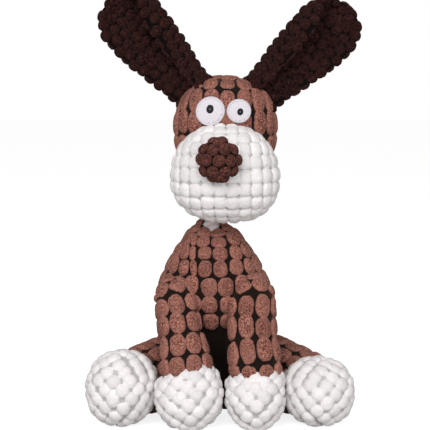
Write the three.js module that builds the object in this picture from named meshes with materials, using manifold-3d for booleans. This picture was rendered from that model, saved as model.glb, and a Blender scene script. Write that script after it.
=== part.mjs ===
// A sitting stuffed donkey for dogs, sewn from corduroy plush with raised cells, with a
// rope for a neck and a squeaker in its belly. Each panel of cloth, each bag of filling
// and each piece of the squeaker is a solid of its own. Millimetres, +Z up. The toy faces
// -Y, so its own right side is at -X.
import * as THREE from "three";
import { mergeVertices } from "three/addons/utils/BufferGeometryUtils.js";
import Module from "manifold-3d";

const wasm = await Module();
wasm.setup();

// Clearances
const GAP = 0.3; // between pieces that touch
const PINCH = 0.6; // between two paws pressed side by side
const OVERRUN = 20; // how far a cutting tool runs past what it cuts
const FLAT = 0.5; // how deep a round foot is pressed flat on the ground

// Cloth
const COVER = 3; // plush with its raised cells
const FELT = 1.6; // eye patch
const SATIN = 0.7; // embroidered pupil

// Torso, a bell standing on the ground with its mouth at the top
const TORSO_HEIGHT = 140;
const TORSO_WIDTH = 90;
const TORSO_DEPTH = 86;
const MOUTH_SLACK = 2.2; // how much longer than wide the mouth is, front and back
const GUSSET_WIDTH = 44;
const GUSSET_HEIGHT = 70;
const SEAM_LEAN = 3; // degrees that the chest seam leans to the toy's right
const CELL_COLUMNS = 20; // raised cells of the side panels' plush, round the torso
const CELL_ROWS = 9; // from the ground to the mouth
const CELL_RISE = 1.8; // over the backing between the cells
const CELL_GROOVE = 3.6; // from one cell's flat top to the next

// Neck rope, knotted at both ends
const ROPE_DIAMETER = 14;
const KNOT_DIAMETER = 19;
const NECK_RISE = 46; // from the torso's mouth to the middle of the head's knot
const NECK_TAIL = 18; // from the mouth down to the middle of the torso's knot
const ROPE_LEAN = 7.5; // degrees towards the toy's left
const NOD = 25; // degrees that the lower knot's pocket leaves free, each way

// Head and muzzle, two rounded bags that share one filling
const HEAD_WIDTH = 75;
const HEAD_DEPTH = 68;
const HEAD_HEIGHT = 76;
const MUZZLE_WIDTH = 76;
const MUZZLE_DEPTH = 62;
const MUZZLE_HEIGHT = 69;
const CHIN_GAP = 3; // from the torso's mouth to the chin
const HEAD_ABOVE_MUZZLE = 30; // middle over middle
const HEAD_BEHIND_MUZZLE = 30;
const HEAD_OUT = 10; // from the mouth's middle towards the toy's left
const NOSE_WIDTH = 30;
const NOSE_DEPTH = 25;
const NOSE_HEIGHT = 31;
const NOSE_RISE = 12.5; // above the muzzle's middle
const NOSE_OUT = 5; // towards the toy's right

// Eyes, from the head's middle to theirs
const RIGHT_EYE_WIDTH = 20.5;
const RIGHT_EYE_OUT = 11.6;
const LEFT_EYE_WIDTH = 17.5;
const LEFT_EYE_OUT = 9.3;
const EYE_RISE = 14;
const PUPIL_WIDTH = 6;

// Ears, each two cloth panels
const EAR_LENGTH = 88;
const EAR_WIDTH = 47;
const EAR_ROOT_WIDTH = 33;
const EAR_CUP = 10; // how deep the ear is hollowed
const EAR_ROOT_CLOTH = 1.7; // cloth pressed thin in the root's seam
const EAR_SINK = 0.5; // how deep the root's hinge line lies in the head
const RIGHT_EAR_SPREAD = 42; // degrees from upright
const LEFT_EAR_SPREAD = 46.5;

// Front legs
const SHOULDER_WIDTH = 25;
const RIGHT_SHOULDER_OUT = 34; // from the ground's middle line
const RIGHT_SHOULDER_HEIGHT = 92;
const LEFT_SHOULDER_OUT = 23;
const LEFT_SHOULDER_HEIGHT = 95;
const SHOULDER_PROUD = 4; // how far the shoulder's middle stands out of the chest
const CALF_HEIGHT = 62;
const CALF_WIDTH = 31;
const FRONT_ANKLE_WIDTH = 37.5;
const FRONT_PAW_HEIGHT = 44; // ankle seam above the ground
const RIGHT_FRONT_PAW_WIDTH = 49;
const LEFT_FRONT_PAW_WIDTH = 43;
const FRONT_PAW_DEPTH = 46;
const FRONT_REACH = 20; // from the shoulder's middle ahead to the paw's
const PAWS_MEET = 2; // where the front paws press together, towards the toy's left

// Hind legs
const HIP_WIDTH = 46;
const HIP_HEIGHT = 55;
const HIP_SINK = 6; // how deep the hip's middle lies in the torso
const HIP_AHEAD = 20; // from the torso's widest place
const HIND_ANKLE_WIDTH = 40;
const HIND_PAW_WIDTH = 48;
const RIGHT_HIND_PAW_HEIGHT = 53;
const LEFT_HIND_PAW_HEIGHT = 48;
const HIND_REACH = 52; // from the hip's middle ahead to the paw's

// Squeaker, a bellows with a reed, standing on the belly gusset
const SQUEAKER_DIAMETER = 36;
const SQUEAKER_BASE = 2;
const SQUEAKER_CAP = 1.8;
const BELLOWS_WALL = 1.2;
const BELLOWS_HEIGHT = 17;
const BELLOWS_FOLD_DEPTH = 3.6;
const BELLOWS_FOLDS = 4;
const BOSS_HEIGHT = 1.6; // spigots inside the bellows' ends
const POCKET_GAP = 0.6; // between squeaker and filling
const REED_BORE = 8;
const REED_TUBE_WALL = 1.2;
const REED_TUBE_HEIGHT = 6;
const REED_THICKNESS = 0.4;
const REED_WIDTH = 4.4;
const REED_CHANNEL = 2.6;
const REED_LENGTH = 7;
const WEDGE_HEIGHT = 3;

// Facets
const LIMB_SIDES = 16;
const LIMB_STEPS = 7;
const TORSO_SIDES = 24;
const TORSO_STEPS = 11;
const BALL_SIDES = 20;
const BALL_RINGS = 10;
const ROUND_SIDES = 20;
const EAR_STEPS = 11;
const EAR_COLUMNS = 6;
const FAN_STEPS = 12;
const BOXY = 2.25; // how full a bag's shoulders are, 2 being an ellipsoid

const cloth = (color) => new THREE.MeshStandardMaterial({ color, roughness: 0.95 });
const plastic = (color, roughness) => new THREE.MeshStandardMaterial({ color, roughness });
const BROWN = cloth(0x845849);
const BLACK_LINING = cloth(0x1c1413);
const DARK_BROWN = cloth(0x341d1a);
const WHITE = cloth(0xeae5e2);
const EYE_WHITE = cloth(0xeee8ee);
const PUPIL_BLACK = cloth(0x17151b);
const FILLING = cloth(0xf4f4f0);
const COTTON = cloth(0xe6dbd6);
const CLEAR_PLASTIC = plastic(0xe2e4e0, 0.45);
const REED_PLASTIC = plastic(0xf3efe6, 0.35);

const RIGHT = -1;
const LEFT = 1;
const X = new THREE.Vector3(1, 0, 0);
const Y = new THREE.Vector3(0, 1, 0);
const Z = new THREE.Vector3(0, 0, 1);
const toy = new THREE.Group();

// Solids
function solid(geometry) {
  const bare = geometry.clone();
  for (const name of Object.keys(bare.attributes)) {
    if (name !== "position") bare.deleteAttribute(name);
  }
  const merged = mergeVertices(bare, 1e-4);
  return new wasm.Manifold(
    new wasm.Mesh({
      numProp: 3,
      vertProperties: new Float32Array(merged.attributes.position.array),
      triVerts: new Uint32Array(merged.index.array),
    }),
  );
}

function addPiece(name, shape, material) {
  const mesh = shape.getMesh();
  const geometry = new THREE.BufferGeometry();
  geometry.setAttribute("position", new THREE.BufferAttribute(new Float32Array(mesh.vertProperties), 3));
  geometry.setIndex(new THREE.BufferAttribute(new Uint32Array(mesh.triVerts), 1));
  geometry.computeVertexNormals();
  const piece = new THREE.Mesh(geometry, material);
  piece.name = name;
  toy.add(piece);
}

// The largest of the separate bodies that a cut leaves
function mainBody(shape) {
  return shape.decompose().reduce((best, body) => (body.volume() > best.volume() ? body : best));
}

function box(low, high) {
  const size = new THREE.Vector3().subVectors(high, low);
  const middle = new THREE.Vector3().addVectors(low, high).divideScalar(2);
  return solid(new THREE.BoxGeometry(size.x, size.y, size.z).translate(middle.x, middle.y, middle.z));
}

// A turned piece: a closed profile of [radius, height] pairs about a line through place
function turned(profile, place, axis, sides) {
  const points = profile.map(([radius, height]) => new THREE.Vector2(radius, height));
  const geometry = new THREE.LatheGeometry(points, sides).rotateX(Math.PI / 2);
  const turn = new THREE.Quaternion().setFromUnitVectors(Z, axis);
  return solid(geometry.applyQuaternion(turn).translate(place.x, place.y, place.z));
}

function rod(place, axis, radius, low, high) {
  const profile = [
    [0, low],
    [radius, low],
    [radius, high],
    [0, high],
  ];
  return turned(profile, place, axis, ROUND_SIDES);
}

// The point of a bag's skin that lies in a given direction of its unit sphere
function bagPoint({ centre, half }, way, grow) {
  const sum = ["x", "y", "z"].reduce((total, axis) => total + Math.abs(way[axis]) ** BOXY, 0);
  const size = half.clone().addScalar(grow);
  return way.clone().divideScalar(sum ** (1 / BOXY)).multiply(size).add(centre);
}

// A rounded bag with full shoulders
function bag(form, grow) {
  const sphere = new THREE.SphereGeometry(1, BALL_SIDES, BALL_RINGS);
  const place = sphere.attributes.position;
  for (let i = 0; i < place.count; i++) {
    const point = bagPoint(form, new THREE.Vector3().fromBufferAttribute(place, i), grow);
    place.setXYZ(i, point.x, point.y, point.z);
  }
  return solid(sphere);
}

// How far a bag reaches along a direction from its middle
function bagReach({ half }, way) {
  const sum = ["x", "y", "z"].reduce((total, axis) => total + Math.abs(way[axis] / half[axis]) ** BOXY, 0);
  return sum ** (-1 / BOXY);
}

// A closed skin over rings of points that turn right-handed about the way ahead. The
// second half of each ring has its facets mirrored, so that they match the first half's.
function skin(rings) {
  const sides = rings[0].length;
  const points = rings.flat();
  const faces = [];
  const ends = [rings[0], rings[rings.length - 1]].map((ring) => {
    const middle = new THREE.Vector3();
    for (const point of ring) middle.addScaledVector(point, 1 / sides);
    return points.push(middle) - 1;
  });
  const last = (rings.length - 1) * sides;
  for (let i = 0; i < sides; i++) {
    const next = (i + 1) % sides;
    faces.push(ends[0], next, i, ends[1], last + i, last + next);
    for (let here = 0; here < last; here += sides) {
      const [a, b, c, d] = [here + i, here + next, here + sides + next, here + sides + i];
      if (i < sides / 2) faces.push(a, b, d, b, c, d);
      else faces.push(a, b, c, a, c, d);
    }
  }
  const geometry = new THREE.BufferGeometry().setFromPoints(points);
  geometry.setIndex(faces);
  return solid(geometry);
}

function ellipseRing(centre, across, depth, sides) {
  const ring = [];
  for (let i = 0; i < sides; i++) {
    const turn = (2 * Math.PI * i) / sides;
    const point = centre.clone().addScaledVector(across, Math.cos(turn));
    ring.push(point.addScaledVector(depth, Math.sin(turn)));
  }
  return ring;
}

// A smooth run of values through a table's evenly spaced rows
function alongTable(rows, share) {
  const span = (rows.length - 1) * Math.min(Math.max(share, 0), 1);
  const k = Math.min(Math.floor(span), rows.length - 2);
  const t = span - k;
  return rows[0].map((_, column) => {
    const at = (row) => rows[Math.min(Math.max(row, 0), rows.length - 1)][column];
    const [a, b, c, d] = [at(k - 1), at(k), at(k + 1), at(k + 2)];
    return b + 0.5 * t * (c - a + t * (2 * a - 5 * b + 4 * c - d + t * (3 * (b - c) + d - a)));
  });
}

// Torso form
const mouthHalfWidth = ROPE_DIAMETER / 2 + GAP + COVER;
const mouthHalfDepth = mouthHalfWidth + MOUTH_SLACK;

// From the ground up in even steps: half width, half depth, lean and setback
const torsoShares = [
  [0.42, 0.35, 0.0, 0.28],
  [0.48, 0.42, 0.0, 0.28],
  [0.5, 0.45, -0.01, 0.255],
  [0.497, 0.475, -0.02, 0.21],
  [0.495, 0.49, -0.03, 0.16],
  [0.49, 0.5, -0.04, 0.1],
  [0.475, 0.485, -0.05, 0.005],
  [0.425, 0.44, -0.06, -0.04],
  [0.35, 0.38, -0.065, -0.05],
  [0.245, 0.29, -0.07, -0.053],
  [mouthHalfWidth / TORSO_WIDTH, mouthHalfDepth / TORSO_DEPTH, -0.078, -0.05],
];

function torsoRing(height) {
  const [wide, deep, lean, setback] = alongTable(torsoShares, height / TORSO_HEIGHT);
  return {
    centre: new THREE.Vector3(lean * TORSO_WIDTH, setback * TORSO_DEPTH, height),
    halfWidth: wide * TORSO_WIDTH,
    halfDepth: deep * TORSO_DEPTH,
  };
}

// A ring of the plain form's facets, straight between the rings of its steps
function facetedRing(height) {
  const step = TORSO_HEIGHT / TORSO_STEPS;
  const start = Math.min(Math.floor(height / step), TORSO_STEPS - 1);
  const share = height / step - start;
  const [low, high] = [torsoRing(start * step), torsoRing((start + 1) * step)];
  return {
    centre: low.centre.clone().lerp(high.centre, share),
    halfWidth: THREE.MathUtils.lerp(low.halfWidth, high.halfWidth, share),
    halfDepth: THREE.MathUtils.lerp(low.halfDepth, high.halfDepth, share),
  };
}

// The torso grown all round, from a base of its own, and cut short or run on at its top
function torsoForm(grow, base, top) {
  const rings = [];
  const ringAt = (height, place) => {
    const ring = torsoRing(height);
    const across = X.clone().multiplyScalar(ring.halfWidth + grow);
    const depth = Y.clone().multiplyScalar(ring.halfDepth + grow);
    rings.push(ellipseRing(ring.centre.setZ(place), across, depth, TORSO_SIDES));
  };
  ringAt(0, base);
  for (let i = 1; i < TORSO_STEPS; i++) ringAt((i / TORSO_STEPS) * TORSO_HEIGHT, (i / TORSO_STEPS) * TORSO_HEIGHT);
  ringAt(TORSO_HEIGHT, Math.min(top, TORSO_HEIGHT));
  if (top > TORSO_HEIGHT) ringAt(TORSO_HEIGHT, top);
  return skin(rings);
}

// The torso in its plush, whose raised cells stand in columns and rows and stay within
// the flat facets of the plain form
function plushForm() {
  const facetShare = Math.cos(Math.PI / TORSO_SIDES);
  const edgeShare = CELL_GROOVE / 2 / ((Math.PI * TORSO_WIDTH) / CELL_COLUMNS);
  const ringAt = (height, raised) => {
    const { centre, halfWidth, halfDepth } = facetedRing(height);
    const ring = [];
    for (let cell = 0; cell < CELL_COLUMNS; cell++) {
      for (const share of [0, edgeShare, 1 - edgeShare]) {
        const turn = (2 * Math.PI * (cell + share)) / CELL_COLUMNS;
        const sink = raised && share > 0 ? 0 : CELL_RISE;
        const point = centre.clone().addScaledVector(X, (halfWidth * facetShare - sink) * Math.cos(turn));
        ring.push(point.addScaledVector(Y, (halfDepth * facetShare - sink) * Math.sin(turn)));
      }
    }
    return ring;
  };
  const rings = [ringAt(0, true)];
  for (let row = 1; row < CELL_ROWS; row++) {
    const height = (row / CELL_ROWS) * TORSO_HEIGHT;
    rings.push(ringAt(height - CELL_GROOVE / 2, true), ringAt(height, false), ringAt(height + CELL_GROOVE / 2, true));
  }
  rings.push(ringAt(TORSO_HEIGHT, true));
  return skin(rings);
}

// The front of the torso's skin, straight ahead of a place
function chestFront(x, height) {
  const { centre, halfWidth, halfDepth } = torsoRing(height);
  const share = Math.min(Math.abs((x - centre.x) / halfWidth), 1);
  return centre.y - halfDepth * Math.sqrt(1 - share ** 2);
}

const torsoGrown = torsoForm(GAP, -OVERRUN, TORSO_HEIGHT + GAP);
const below = box(
  new THREE.Vector3(-2 * TORSO_WIDTH, -2 * TORSO_DEPTH, -TORSO_HEIGHT),
  new THREE.Vector3(2 * TORSO_WIDTH, 2 * TORSO_DEPTH, 0),
);

// Squeaker, from the base up
const squeakerFoot = torsoRing(0).centre.clone().setZ(COVER + GAP);
const squeakerRadius = SQUEAKER_DIAMETER / 2;
const bellowsFoot = SQUEAKER_BASE + GAP;
const capFoot = bellowsFoot + BELLOWS_HEIGHT + GAP;
const squeakerTop = capFoot + SQUEAKER_CAP;
const cuffRadius = squeakerRadius - BELLOWS_FOLD_DEPTH;
const bossRadius = cuffRadius - BELLOWS_WALL - GAP;
const tubeRadius = REED_BORE / 2 + REED_TUBE_WALL;

function addSqueaker() {
  const base = [
    [REED_BORE / 2, 0],
    [squeakerRadius, 0],
    [squeakerRadius, SQUEAKER_BASE],
    [bossRadius, SQUEAKER_BASE],
    [bossRadius, SQUEAKER_BASE + BOSS_HEIGHT],
    [bossRadius - BELLOWS_WALL, SQUEAKER_BASE + BOSS_HEIGHT],
    [bossRadius - BELLOWS_WALL, SQUEAKER_BASE],
    [tubeRadius, SQUEAKER_BASE],
    [tubeRadius, REED_TUBE_HEIGHT],
    [REED_BORE / 2, REED_TUBE_HEIGHT],
    [REED_BORE / 2, 0],
  ];
  addPiece("squeaker_base", turned(base, squeakerFoot, Z, ROUND_SIDES), CLEAR_PLASTIC);

  // Straight cuffs at both ends, and the folds between them
  const pitch = BELLOWS_HEIGHT / (BELLOWS_FOLDS + 1);
  const outer = [[cuffRadius, bellowsFoot]];
  for (let fold = 0; fold < BELLOWS_FOLDS; fold++) {
    const low = bellowsFoot + pitch * (fold + 1 / 2);
    outer.push([cuffRadius, low], [squeakerRadius, low + pitch / 2]);
  }
  const top = bellowsFoot + BELLOWS_HEIGHT;
  outer.push([cuffRadius, top - pitch / 2], [cuffRadius, top]);
  const inner = outer.map(([radius, height]) => [radius - BELLOWS_WALL, height]).reverse();
  const bellows = [...outer, ...inner, outer[0]];
  addPiece("squeaker_bellows", turned(bellows, squeakerFoot, Z, ROUND_SIDES), CLEAR_PLASTIC);

  const cap = [
    [0, capFoot],
    [bossRadius - BELLOWS_WALL, capFoot],
    [bossRadius - BELLOWS_WALL, capFoot - BOSS_HEIGHT],
    [bossRadius, capFoot - BOSS_HEIGHT],
    [bossRadius, capFoot],
    [squeakerRadius, capFoot],
    [squeakerRadius, squeakerTop],
    [0, squeakerTop],
  ];
  addPiece("squeaker_cap", turned(cap, squeakerFoot, Z, ROUND_SIDES), CLEAR_PLASTIC);
}

// The reed lies flat across its carrier's open channel. The wedge clamps its lower end,
// and its upper end is free to beat on the channel as air leaves the bellows.
function addReed() {
  const plug = rod(squeakerFoot, Z, REED_BORE / 2 - GAP, 0, REED_LENGTH);
  const slab = (back, ahead, halfWidth, low, high) =>
    box(
      squeakerFoot.clone().add(new THREE.Vector3(-halfWidth, -ahead, low)),
      squeakerFoot.clone().add(new THREE.Vector3(halfWidth, back, high)),
    );
  const channelFloor = REED_BORE / 2 - REED_TUBE_WALL;
  const carrierHalf = slab(REED_BORE, -GAP, REED_BORE, -OVERRUN, OVERRUN);
  const channel = slab(channelFloor, REED_BORE, REED_CHANNEL / 2, -OVERRUN, REED_LENGTH - REED_TUBE_WALL);
  addPiece("reed_carrier", plug.intersect(carrierHalf).subtract(channel), CLEAR_PLASTIC);
  addPiece("reed", slab(0, REED_THICKNESS, REED_WIDTH / 2, 0, REED_LENGTH), REED_PLASTIC);
  const wedgeHalf = slab(-REED_THICKNESS - GAP, REED_BORE, REED_BORE, -OVERRUN, WEDGE_HEIGHT);
  addPiece("reed_wedge", plug.intersect(wedgeHalf), CLEAR_PLASTIC);
}

// Neck rope
const neckAxis = Z.clone().applyAxisAngle(Y, THREE.MathUtils.degToRad(ROPE_LEAN));
const neckMouth = torsoRing(TORSO_HEIGHT).centre;
const KNOT_STEPS = 5;

// A rope with a ball-shaped knot at each end
function knottedRope(grow) {
  const knot = KNOT_DIAMETER / 2 + grow;
  const sweep = Math.PI - Math.asin((ROPE_DIAMETER / 2 + grow) / knot);
  const arc = [];
  for (let i = 0; i <= KNOT_STEPS; i++) {
    const turn = (sweep * i) / KNOT_STEPS;
    arc.push([i === 0 ? 0 : knot * Math.sin(turn), knot * Math.cos(turn)]);
  }
  const lower = arc.map(([radius, height]) => [radius, -NECK_TAIL - height]);
  const upper = arc.map(([radius, height]) => [radius, NECK_RISE + height]).reverse();
  return turned([...lower, ...upper], neckMouth, neckAxis, ROUND_SIDES);
}

// The room that the lower knot swings in, a fan as wide as the knot
function swingRoom() {
  const reach = NECK_TAIL + KNOT_DIAMETER / 2 + GAP;
  const spread = THREE.MathUtils.degToRad(NOD) + Math.asin((KNOT_DIAMETER / 2 + GAP) / NECK_TAIL);
  const throat = ROPE_DIAMETER / 2 + MOUTH_SLACK;
  const shape = new THREE.Shape();
  shape.moveTo(throat, OVERRUN);
  shape.lineTo(throat, 0);
  for (let i = 0; i <= FAN_STEPS; i++) {
    const turn = spread * (1 - (2 * i) / FAN_STEPS);
    shape.lineTo(reach * Math.sin(turn), -reach * Math.cos(turn));
  }
  shape.lineTo(-throat, 0);
  shape.lineTo(-throat, OVERRUN);
  const width = KNOT_DIAMETER + 2 * GAP;
  const fan = new THREE.ExtrudeGeometry(shape, { depth: width, bevelEnabled: false });
  fan.translate(0, 0, -width / 2).rotateX(Math.PI / 2).rotateZ(Math.PI / 2);
  fan.rotateY(THREE.MathUtils.degToRad(ROPE_LEAN));
  return solid(fan.translate(neckMouth.x, neckMouth.y, neckMouth.z));
}

const gussetBackShare = 0.6; // how far the gusset runs back, of the seat's half depth

// Torso pieces: two brown side panels, the black gusset under and between the front
// legs, and the filling with its pockets for the knot and the squeaker
function addTorso() {
  const room = torsoForm(-COVER, COVER, TORSO_HEIGHT + OVERRUN);
  const foot = torsoRing(0);
  const gussetBack = foot.centre.y + foot.halfDepth * gussetBackShare;
  const strip = (back, top, grow) =>
    box(
      new THREE.Vector3(foot.centre.x - GUSSET_WIDTH / 2 - grow, -TORSO_DEPTH, -OVERRUN),
      new THREE.Vector3(foot.centre.x + GUSSET_WIDTH / 2 + grow, back + grow, top + grow),
    );
  const gussetBox = (grow) => strip(foot.centre.y, GUSSET_HEIGHT, grow).add(strip(gussetBack, 2 * COVER, grow));
  const lining = torsoForm(0, 0, TORSO_HEIGHT).subtract(room);
  addPiece("belly_gusset", mainBody(lining.intersect(gussetBox(0))), BLACK_LINING);

  const sides = plushForm().subtract(room).subtract(gussetBox(GAP));
  const half = new THREE.BoxGeometry(2 * TORSO_WIDTH, 4 * TORSO_DEPTH, 4 * TORSO_HEIGHT);
  const seam = THREE.MathUtils.degToRad(-SEAM_LEAN);
  const leftHalf = solid(half.clone().translate(TORSO_WIDTH + GAP / 2, 0, 0).rotateY(seam));
  const rightHalf = solid(half.clone().translate(-TORSO_WIDTH - GAP / 2, 0, 0).rotateY(seam));
  addPiece("torso_left_panel", mainBody(sides.intersect(leftHalf)), BROWN);
  addPiece("torso_right_panel", mainBody(sides.intersect(rightHalf)), BROWN);

  const pocket = rod(squeakerFoot, Z, squeakerRadius + POCKET_GAP, -OVERRUN, squeakerTop + POCKET_GAP);
  const filling = torsoForm(-COVER - GAP, COVER + GAP, TORSO_HEIGHT - COVER);
  addPiece("torso_filling", mainBody(filling.subtract(pocket).subtract(swingRoom())), FILLING);
}

// Head forms
const muzzle = {
  half: new THREE.Vector3(MUZZLE_WIDTH, MUZZLE_DEPTH, MUZZLE_HEIGHT).divideScalar(2),
  centre: new THREE.Vector3(
    neckMouth.x + HEAD_OUT,
    neckMouth.y + ROPE_DIAMETER / 2 - HEAD_BEHIND_MUZZLE,
    TORSO_HEIGHT + CHIN_GAP + MUZZLE_HEIGHT / 2,
  ),
};
const head = {
  half: new THREE.Vector3(HEAD_WIDTH, HEAD_DEPTH, HEAD_HEIGHT).divideScalar(2),
  centre: muzzle.centre.clone().add(new THREE.Vector3(0, HEAD_BEHIND_MUZZLE, HEAD_ABOVE_MUZZLE)),
};

// Ears
// Along the ear in even steps: half width, hollow and cloth thickness
const earShares = [
  [EAR_ROOT_WIDTH / EAR_WIDTH, 0.0, 0.0],
  [0.78, 0.1, 0.5],
  [0.85, 0.5, 0.9],
  [0.91, 0.95, 1.0],
  [0.96, 1.0, 1.0],
  [1.0, 0.95, 1.0],
  [0.99, 0.8, 1.0],
  [0.83, 0.55, 0.9],
  [0.38, 0.15, 0.4],
];

// The ear's own frame: its root's hinge line through place, and its way up to the tip
function earFrame(side, spread) {
  const turn = THREE.MathUtils.degToRad(spread) * side;
  const up = Z.clone().applyAxisAngle(Y, turn);
  const across = X.clone().applyAxisAngle(Y, turn);
  const place = head.centre.clone().addScaledVector(up, bagReach(head, up) - EAR_SINK);
  return { place, up, across };
}

const earRootRadius = GAP / 2 + EAR_ROOT_CLOTH;
const rimThinShare = 0.8; // how much of the cloth's middle thickness squared the rim lacks

// A layer that follows the ear's hollow, half of it on each side of the middle surface.
// It runs on past the root and the tip, and past both rims by a share of the width.
function earLayer({ place, up, across }, overrun, rimShare, halfThickness) {
  const ringAt = (along, share, endShare) => {
    const [wide, hollow, swell] = alongTable(earShares, share);
    const front = [];
    const back = [];
    for (let i = 0; i <= EAR_COLUMNS; i++) {
      const column = ((2 * i) / EAR_COLUMNS - 1) * rimShare;
      const thick = halfThickness(column, swell) * endShare;
      const point = place.clone().addScaledVector(up, along);
      point.addScaledVector(across, (column * wide * EAR_WIDTH) / 2);
      point.addScaledVector(Y, EAR_CUP * hollow * (1 - column ** 2));
      front.push(point.clone().addScaledVector(Y, -thick));
      back.push(point.addScaledVector(Y, thick));
    }
    return [...front, ...back.reverse()];
  };
  const endShare = overrun > 0 ? 1 : 1 / 2;
  const rings = [ringAt(-EAR_ROOT_CLOTH / 2 - overrun, 0, endShare)];
  for (let i = 0; i < EAR_STEPS; i++) {
    const share = Math.sin(((Math.PI / 2) * i) / EAR_STEPS);
    rings.push(ringAt(share * EAR_LENGTH, share, 1));
  }
  rings.push(ringAt(EAR_LENGTH + overrun, 1, endShare));
  return skin(rings);
}

function clothThickness(column, swell) {
  const cloth = EAR_ROOT_CLOTH + (COVER - EAR_ROOT_CLOTH) * swell;
  return GAP / 2 + cloth * Math.sqrt(1 - rimThinShare * column ** 2);
}

// The ear's front and back panels, parted by the seam's gap
function earPanels(frame) {
  const rimShare = 1 + COVER / EAR_WIDTH;
  const seam = earLayer(frame, COVER, rimShare, () => GAP / 2);
  return earLayer(frame, 0, 1, clothThickness)
    .subtract(seam)
    .decompose()
    .sort((one, other) => other.volume() - one.volume())
    .slice(0, 2)
    .sort((one, other) => one.boundingBox().min[1] - other.boundingBox().min[1]);
}

const ears = {
  right: earFrame(RIGHT, RIGHT_EAR_SPREAD),
  left: earFrame(LEFT, LEFT_EAR_SPREAD),
};

function addEars() {
  for (const [name, frame] of Object.entries(ears)) {
    const [front, back] = earPanels(frame);
    addPiece(`${name}_ear_front`, front, DARK_BROWN);
    addPiece(`${name}_ear_back`, back, DARK_BROWN);
  }
}

// The grooves that the ears' roots turn in
function earGrooves() {
  return Object.values(ears)
    .map(({ place, across }) => rod(place, across, earRootRadius + 2 * GAP, -EAR_WIDTH, EAR_WIDTH))
    .reduce((all, groove) => all.add(groove));
}

// Head pieces: the brown hood, the white muzzle sewn to it, and their filling
function addHead() {
  const grooves = earGrooves();
  const rope = knottedRope(GAP);
  const hood = bag(head, 0).subtract(bag(head, -COVER)).subtract(bag(muzzle, 0));
  addPiece("head_hood", mainBody(hood.subtract(grooves).subtract(rope)), BROWN);
  const snout = bag(muzzle, 0).subtract(bag(muzzle, -COVER)).subtract(bag(head, GAP));
  addPiece("muzzle", mainBody(snout.subtract(rope)), WHITE);
  const filling = bag(head, -COVER - GAP).add(bag(muzzle, -COVER - GAP));
  addPiece("head_filling", mainBody(filling.subtract(grooves).subtract(rope)), FILLING);

  const nose = {
    half: new THREE.Vector3(NOSE_WIDTH, NOSE_DEPTH, NOSE_HEIGHT).divideScalar(2),
    centre: muzzle.centre.clone().add(new THREE.Vector3(-NOSE_OUT, 0, NOSE_RISE)),
  };
  nose.centre.y -= muzzle.half.y + NOSE_DEPTH / 4;
  addPiece("nose", mainBody(bag(nose, 0).subtract(bag(muzzle, GAP))), DARK_BROWN);
}

// A patch of the head's front, between two heights over its skin
function facePatch(low, high, x, width) {
  const disc = new THREE.CylinderGeometry(width / 2, width / 2, HEAD_DEPTH, ROUND_SIDES);
  const place = head.centre.clone().add(new THREE.Vector3(x, -HEAD_DEPTH / 2, EYE_RISE));
  const plug = solid(disc.translate(place.x, place.y, place.z));
  return mainBody(plug.intersect(bag(head, high)).subtract(bag(head, low)).subtract(bag(muzzle, GAP)));
}

function addEye(name, x, width) {
  addPiece(`${name}_eye_patch`, facePatch(GAP, GAP + FELT, x, width), EYE_WHITE);
  const low = 2 * GAP + FELT;
  addPiece(`${name}_pupil`, facePatch(low, low + SATIN, x, PUPIL_WIDTH), PUPIL_BLACK);
}

// Limbs
// A stuffed limb through its stations, each a place with a width and a height across it.
// Each end is rounded over a length of its own.
function limbForm({ stations, rootCap, toeCap }, grow) {
  const curve = new THREE.CatmullRomCurve3(stations.map((station) => station.place));
  const across = stations.map((station) => new THREE.Vector3(station.width, station.height, 0));
  const sizes = new THREE.CatmullRomCurve3(across);
  const capShares = [0.93, 0.6];
  const ringAt = (share, reach, capShare) => {
    const ahead = curve.getTangent(share).normalize();
    const side = new THREE.Vector3().crossVectors(ahead, Math.abs(ahead.z) > 0.7 ? Y : Z).normalize();
    if (side.x < 0) side.negate();
    const other = new THREE.Vector3().crossVectors(ahead, side);
    const size = sizes.getPoint(share);
    const thin = Math.sqrt(1 - capShare ** 2);
    const centre = curve.getPoint(share).addScaledVector(ahead, (reach + Math.sign(reach) * grow) * capShare);
    side.multiplyScalar((size.x / 2 + grow) * thin);
    other.multiplyScalar((size.y / 2 + grow) * thin);
    return ellipseRing(centre, side, other, LIMB_SIDES);
  };
  const rings = capShares.map((capShare) => ringAt(0, -rootCap, capShare));
  for (let i = 0; i <= LIMB_STEPS; i++) rings.push(ringAt(i / LIMB_STEPS, 0, 0));
  for (const capShare of [...capShares].reverse()) rings.push(ringAt(1, toeCap, capShare));
  return skin(rings);
}

// One leg: a brown sleeve, a white paw sewn to it at the ankle, and the filling in both.
// The torso presses into its root, and a neighbouring leg into its side.
function addLeg(name, limb, neighbour) {
  const ankle = limb.stations[limb.stations.length - 2].place;
  const turn = new THREE.Quaternion().setFromUnitVectors(Z, limb.ankleWay);
  const reach = 2 * TORSO_HEIGHT;
  const tool = (start) => {
    const block = new THREE.BoxGeometry(reach, reach, reach).translate(0, 0, start + reach / 2);
    return solid(block.applyQuaternion(turn).translate(ankle.x, ankle.y, ankle.z));
  };
  const pressed = neighbour ? torsoGrown.add(limbForm(neighbour, PINCH)) : torsoGrown;
  const shell = limbForm(limb, 0).subtract(limbForm(limb, -COVER)).subtract(below).subtract(pressed);
  addPiece(`${name}_leg_sleeve`, mainBody(shell.subtract(tool(-GAP / 2))), BROWN);
  addPiece(`${name}_paw`, mainBody(shell.subtract(tool(GAP / 2 - reach))), WHITE);
  addPiece(`${name}_leg_filling`, mainBody(limbForm(limb, -COVER - GAP).subtract(pressed)), FILLING);
}

const calfReachShare = 0.55; // how much of the reach ahead the calf has taken up
const ankleReachShare = 0.8;
const rootCapShare = 0.45; // of the shoulder's width

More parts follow.
